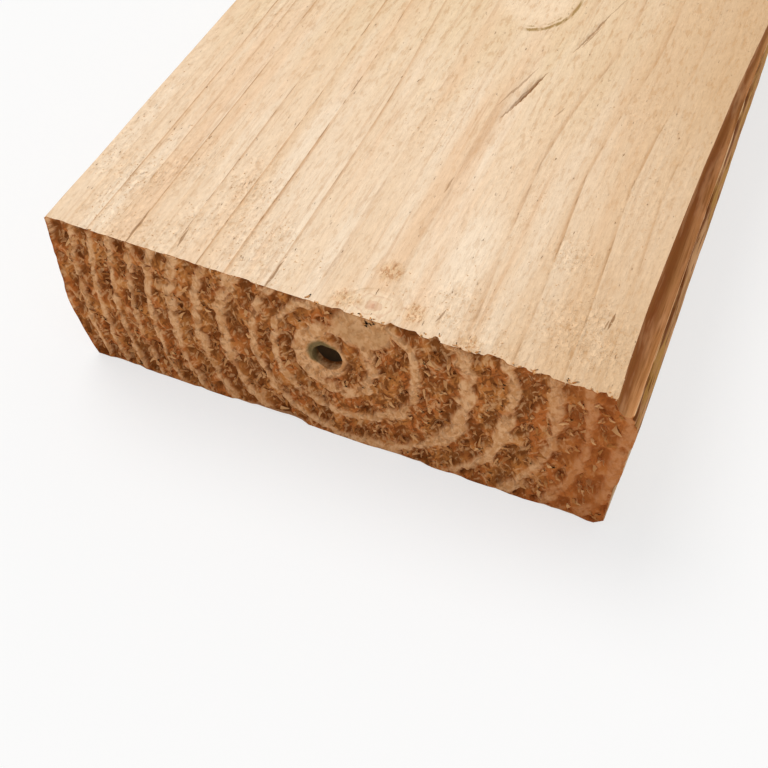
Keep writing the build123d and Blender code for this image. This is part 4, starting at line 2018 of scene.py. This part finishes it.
@dataclass(frozen=True)
class Studio:
    """A plain white floor, soft light from above and behind, and the catalogue's camera."""

    eye: tuple[float, float, float] = (77.70, -172.49, 245.94)
    aim: tuple[float, float, float] = (20.54, -15.99, 47.0)
    roll: float = 2.726
    focal: float = 56.44
    sun_strength: float = 1.50
    sun_from: tuple[float, float, float] = (-0.55, 0.35, 1.0)
    sun_width: float = 35.0
    sun_colour: tuple[float, float, float] = (1.0, 0.985, 0.96)
    sky_strength: float = 0.55
    # The floor's half size in metres, its grey, and how much of it glows where it is seen
    floor_reach: float = 9.0
    floor_white: float = 0.95
    floor_glow: float = 0.66

    def _seen(self, sheet: NodeSheet) -> Wire:
        """One where the camera sees a surface, directly, mirrored or through another one.

        Args:
            sheet: the tree.

        Returns:
            One or nought.
        """
        rays = sheet.place("ShaderNodeLightPath")
        seen = Wire(sheet, rays.outputs["Is Camera Ray"])
        mirrored = Wire(sheet, rays.outputs["Is Glossy Ray"])
        through = Wire(sheet, rays.outputs["Is Transmission Ray"])
        return seen.most(mirrored).most(through)

    def floor(self) -> bpy.types.Object:
        """A white floor that keeps the plank's shadow.

        Returns:
            The floor's object.
        """
        mesh = bpy.data.meshes.new("floor")
        ways = ((-1.0, -1.0), (1.0, -1.0), (1.0, 1.0), (-1.0, 1.0))
        corners = [(self.floor_reach * right, self.floor_reach * back, 0.0) for right, back in ways]
        mesh.from_pydata(corners, [], [(0, 1, 2, 3)])
        floor = bpy.data.objects.new("floor", mesh)
        bpy.context.scene.collection.objects.link(floor)
        material = bpy.data.materials.new("white_floor")
        material.use_nodes = True
        sheet = NodeSheet(material.node_tree)
        white = (self.floor_white, self.floor_white, self.floor_white, 1.0)
        paint = sheet.add("ShaderNodeBsdfDiffuse", {}, {"Color": white})
        inputs = {"Color": (1.0, 1.0, 1.0, 1.0), "Strength": 1.0}
        glow = sheet.add("ShaderNodeEmission", {}, inputs)
        share = self._seen(sheet) * self.floor_glow
        both = sheet.add("ShaderNodeMixShader", {}, [share, paint, glow])
        sheet.place("ShaderNodeOutputMaterial", {}, {"Surface": both})
        mesh.materials.append(material)
        return floor

    def sky(self) -> None:
        """An even white sky, full white where it is seen."""
        world = bpy.data.worlds.new("white_room")
        bpy.context.scene.world = world
        world.use_nodes = True
        sheet = NodeSheet(world.node_tree)
        strength = self.sky_strength + self._seen(sheet) * (1.0 - self.sky_strength)
        inputs = {"Color": (1.0, 1.0, 1.0, 1.0), "Strength": strength}
        light = sheet.add("ShaderNodeBackground", {}, inputs)
        sheet.place("ShaderNodeOutputWorld", {}, {"Surface": light})

    def lamp(self) -> None:
        """One broad, soft sun from above, behind and to the left."""
        data = bpy.data.lights.new("key", "SUN")
        data.energy = self.sun_strength
        data.angle = radians(self.sun_width)
        data.color = self.sun_colour
        lamp = bpy.data.objects.new("key", data)
        lamp.rotation_euler = Vector(self.sun_from).to_track_quat("Z", "Y").to_euler()
        bpy.context.scene.collection.objects.link(lamp)

    def camera(self, near: float) -> None:
        """The camera, placed from the near end's middle.

        Args:
            near: the near end's place along the grain, in millimetres.
        """
        data = bpy.data.cameras.new("camera")
        data.lens = self.focal
        data.sensor_width = 36.0
        data.clip_start = 0.01
        data.clip_end = 50.0
        camera = bpy.data.objects.new("camera", data)
        eye = Vector((self.eye[0], self.eye[1] + near, self.eye[2])) * MM
        aim = Vector((self.aim[0], self.aim[1] + near, self.aim[2])) * MM
        turn = (aim - eye).to_track_quat("-Z", "Y").to_matrix()
        turn = turn @ Matrix.Rotation(radians(self.roll), 3, "Z")
        camera.matrix_world = Matrix.Translation(eye) @ turn.to_4x4()
        bpy.context.scene.collection.objects.link(camera)
        bpy.context.scene.camera = camera

    def build(self, near: float) -> None:
        """Sets up the floor, light and camera.

        Args:
            near: the near end's place along the grain, in millimetres.
        """
        bpy.context.scene.view_settings.view_transform = "Standard"
        self.floor()
        self.sky()
        self.lamp()
        self.camera(near)


# The plank


class SawnPlank:
    """The dressed plank: its skin and the loose fibres on it."""

    def __init__(self) -> None:
        """Takes the sizes from the frame."""
        low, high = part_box("plank")
        self.low = np.array(low) / MM
        self.high = np.array(high) / MM
        self.near = float(self.low[1])
        thickness = float(self.high[2])
        half_width = float(self.high[0] - self.low[0]) / 2
        self.rings = GrowthRings(near=self.near)
        self.section = PlankSection(half_width=half_width, thickness=thickness)
        self.relief = TornWood(
            rings=self.rings,
            near=self.near,
            thickness=thickness,
            half_width=half_width,
            noise=GrainNoise(11),
        )

    def _materials(self) -> dict[Zone, bpy.types.Material]:
        """The finish of each zone.

        Returns:
            A material for each zone, in the order of the zones' numbers.
        """
        face = SawnFaceFinish().build(self.near)
        edge = SawnFaceFinish(name="sawn_edge", darken=0.86).build(self.near)
        end = TornEndFinish().build(self.rings)
        rough_edge = TornArrisFinish(name="fibrous_edge", fibrous=1.0).build(self.near)
        gutter = TornArrisFinish(name="smooth_gutter").build(self.near)
        pith = HollowPithFinish().build()
        return {
            Zone.TOP_FACE: face,
            Zone.GUTTER: gutter,
            Zone.FLANK: rough_edge,
            Zone.RIGHT_EDGE: rough_edge,
            Zone.BOTTOM_FACE: face,
            Zone.WANE: gutter,
            Zone.LEFT_EDGE: edge,
            Zone.NEAR_END: end,
            Zone.FAR_END: end,
            Zone.PITH: pith,
        }

    def _coats(self) -> tuple[FibreCoat, FibreCoat, FibreCoat]:
        """The loose fibres of the near end, of the top face and of the arris between them.

        Returns:
            The three coats.
        """
        end_fibres = FibreCoat(
            name="end_fibres",
            zone=Zone.NEAR_END,
            thick_where="shaggy",
            per_square_cm=15.0,
            length=2.6,
            thickness=1.1,
            lean=1.15,
            spin=0.7,
            reach=40.0,
            seed=5,
        )
        face_fibres = FibreCoat(
            name="face_fibres",
            zone=Zone.TOP_FACE,
            thick_where="fuzz",
            per_square_cm=40.0,
            length=1.5,
            thickness=0.36,
            lean=1.35,
            spin=pi,
            reach=150.0,
            seed=9,
            rooted_under=True,
        )
        arris_splinters = FibreCoat(
            name="arris_splinters",
            zone=Zone.TOP_FACE,
            thick_where="shaggy",
            per_square_cm=150.0,
            length=1.7,
            thickness=0.6,
            lean=1.2,
            spin=pi,
            reach=3.2,
            seed=3,
        )
        return end_fibres, face_fibres, arris_splinters

    def _settle(self, piece: bpy.types.Object) -> None:
        """Ties a piece to the plank's body, and reports it.

        Args:
            piece: the skin or a coat of fibres.
        """
        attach(piece, "root")
        LOG.info("%s: %d faces", piece.name, len(piece.data.polygons))

    def build(self) -> None:
        """Makes the skin and the fibres."""
        skin = PlankSkin(
            low=self.low + 0.01,
            high=self.high - 0.01,
            section=self.section,
            relief=self.relief,
            rings=self.rings,
        ).build()
        end_fibre = FibreFinish().build()
        pale = shade(246, 217, 180)
        brown = shade(222, 180, 134)
        wool = FibreFinish(name="face_wool", pale=pale, brown=brown).build()
        coats = self._coats()
        finishes = (end_fibre, wool, end_fibre)
        pieces = [coat.build(skin, finish) for coat, finish in zip(coats, finishes)]
        for zone, material in self._materials().items():
            skin.data.materials.append(material)
            assert len(skin.data.materials) == zone.value + 1
        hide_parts("plank")
        for piece in [skin, *pieces]:
            self._settle(piece)


def main() -> None:
    """Builds the studio and the plank."""
    logging.basicConfig(level=logging.INFO, format="%(name)s: %(message)s")
    plank = SawnPlank()
    Studio().build(plank.near)
    plank.build()


if __name__ == "__main__":
    main()
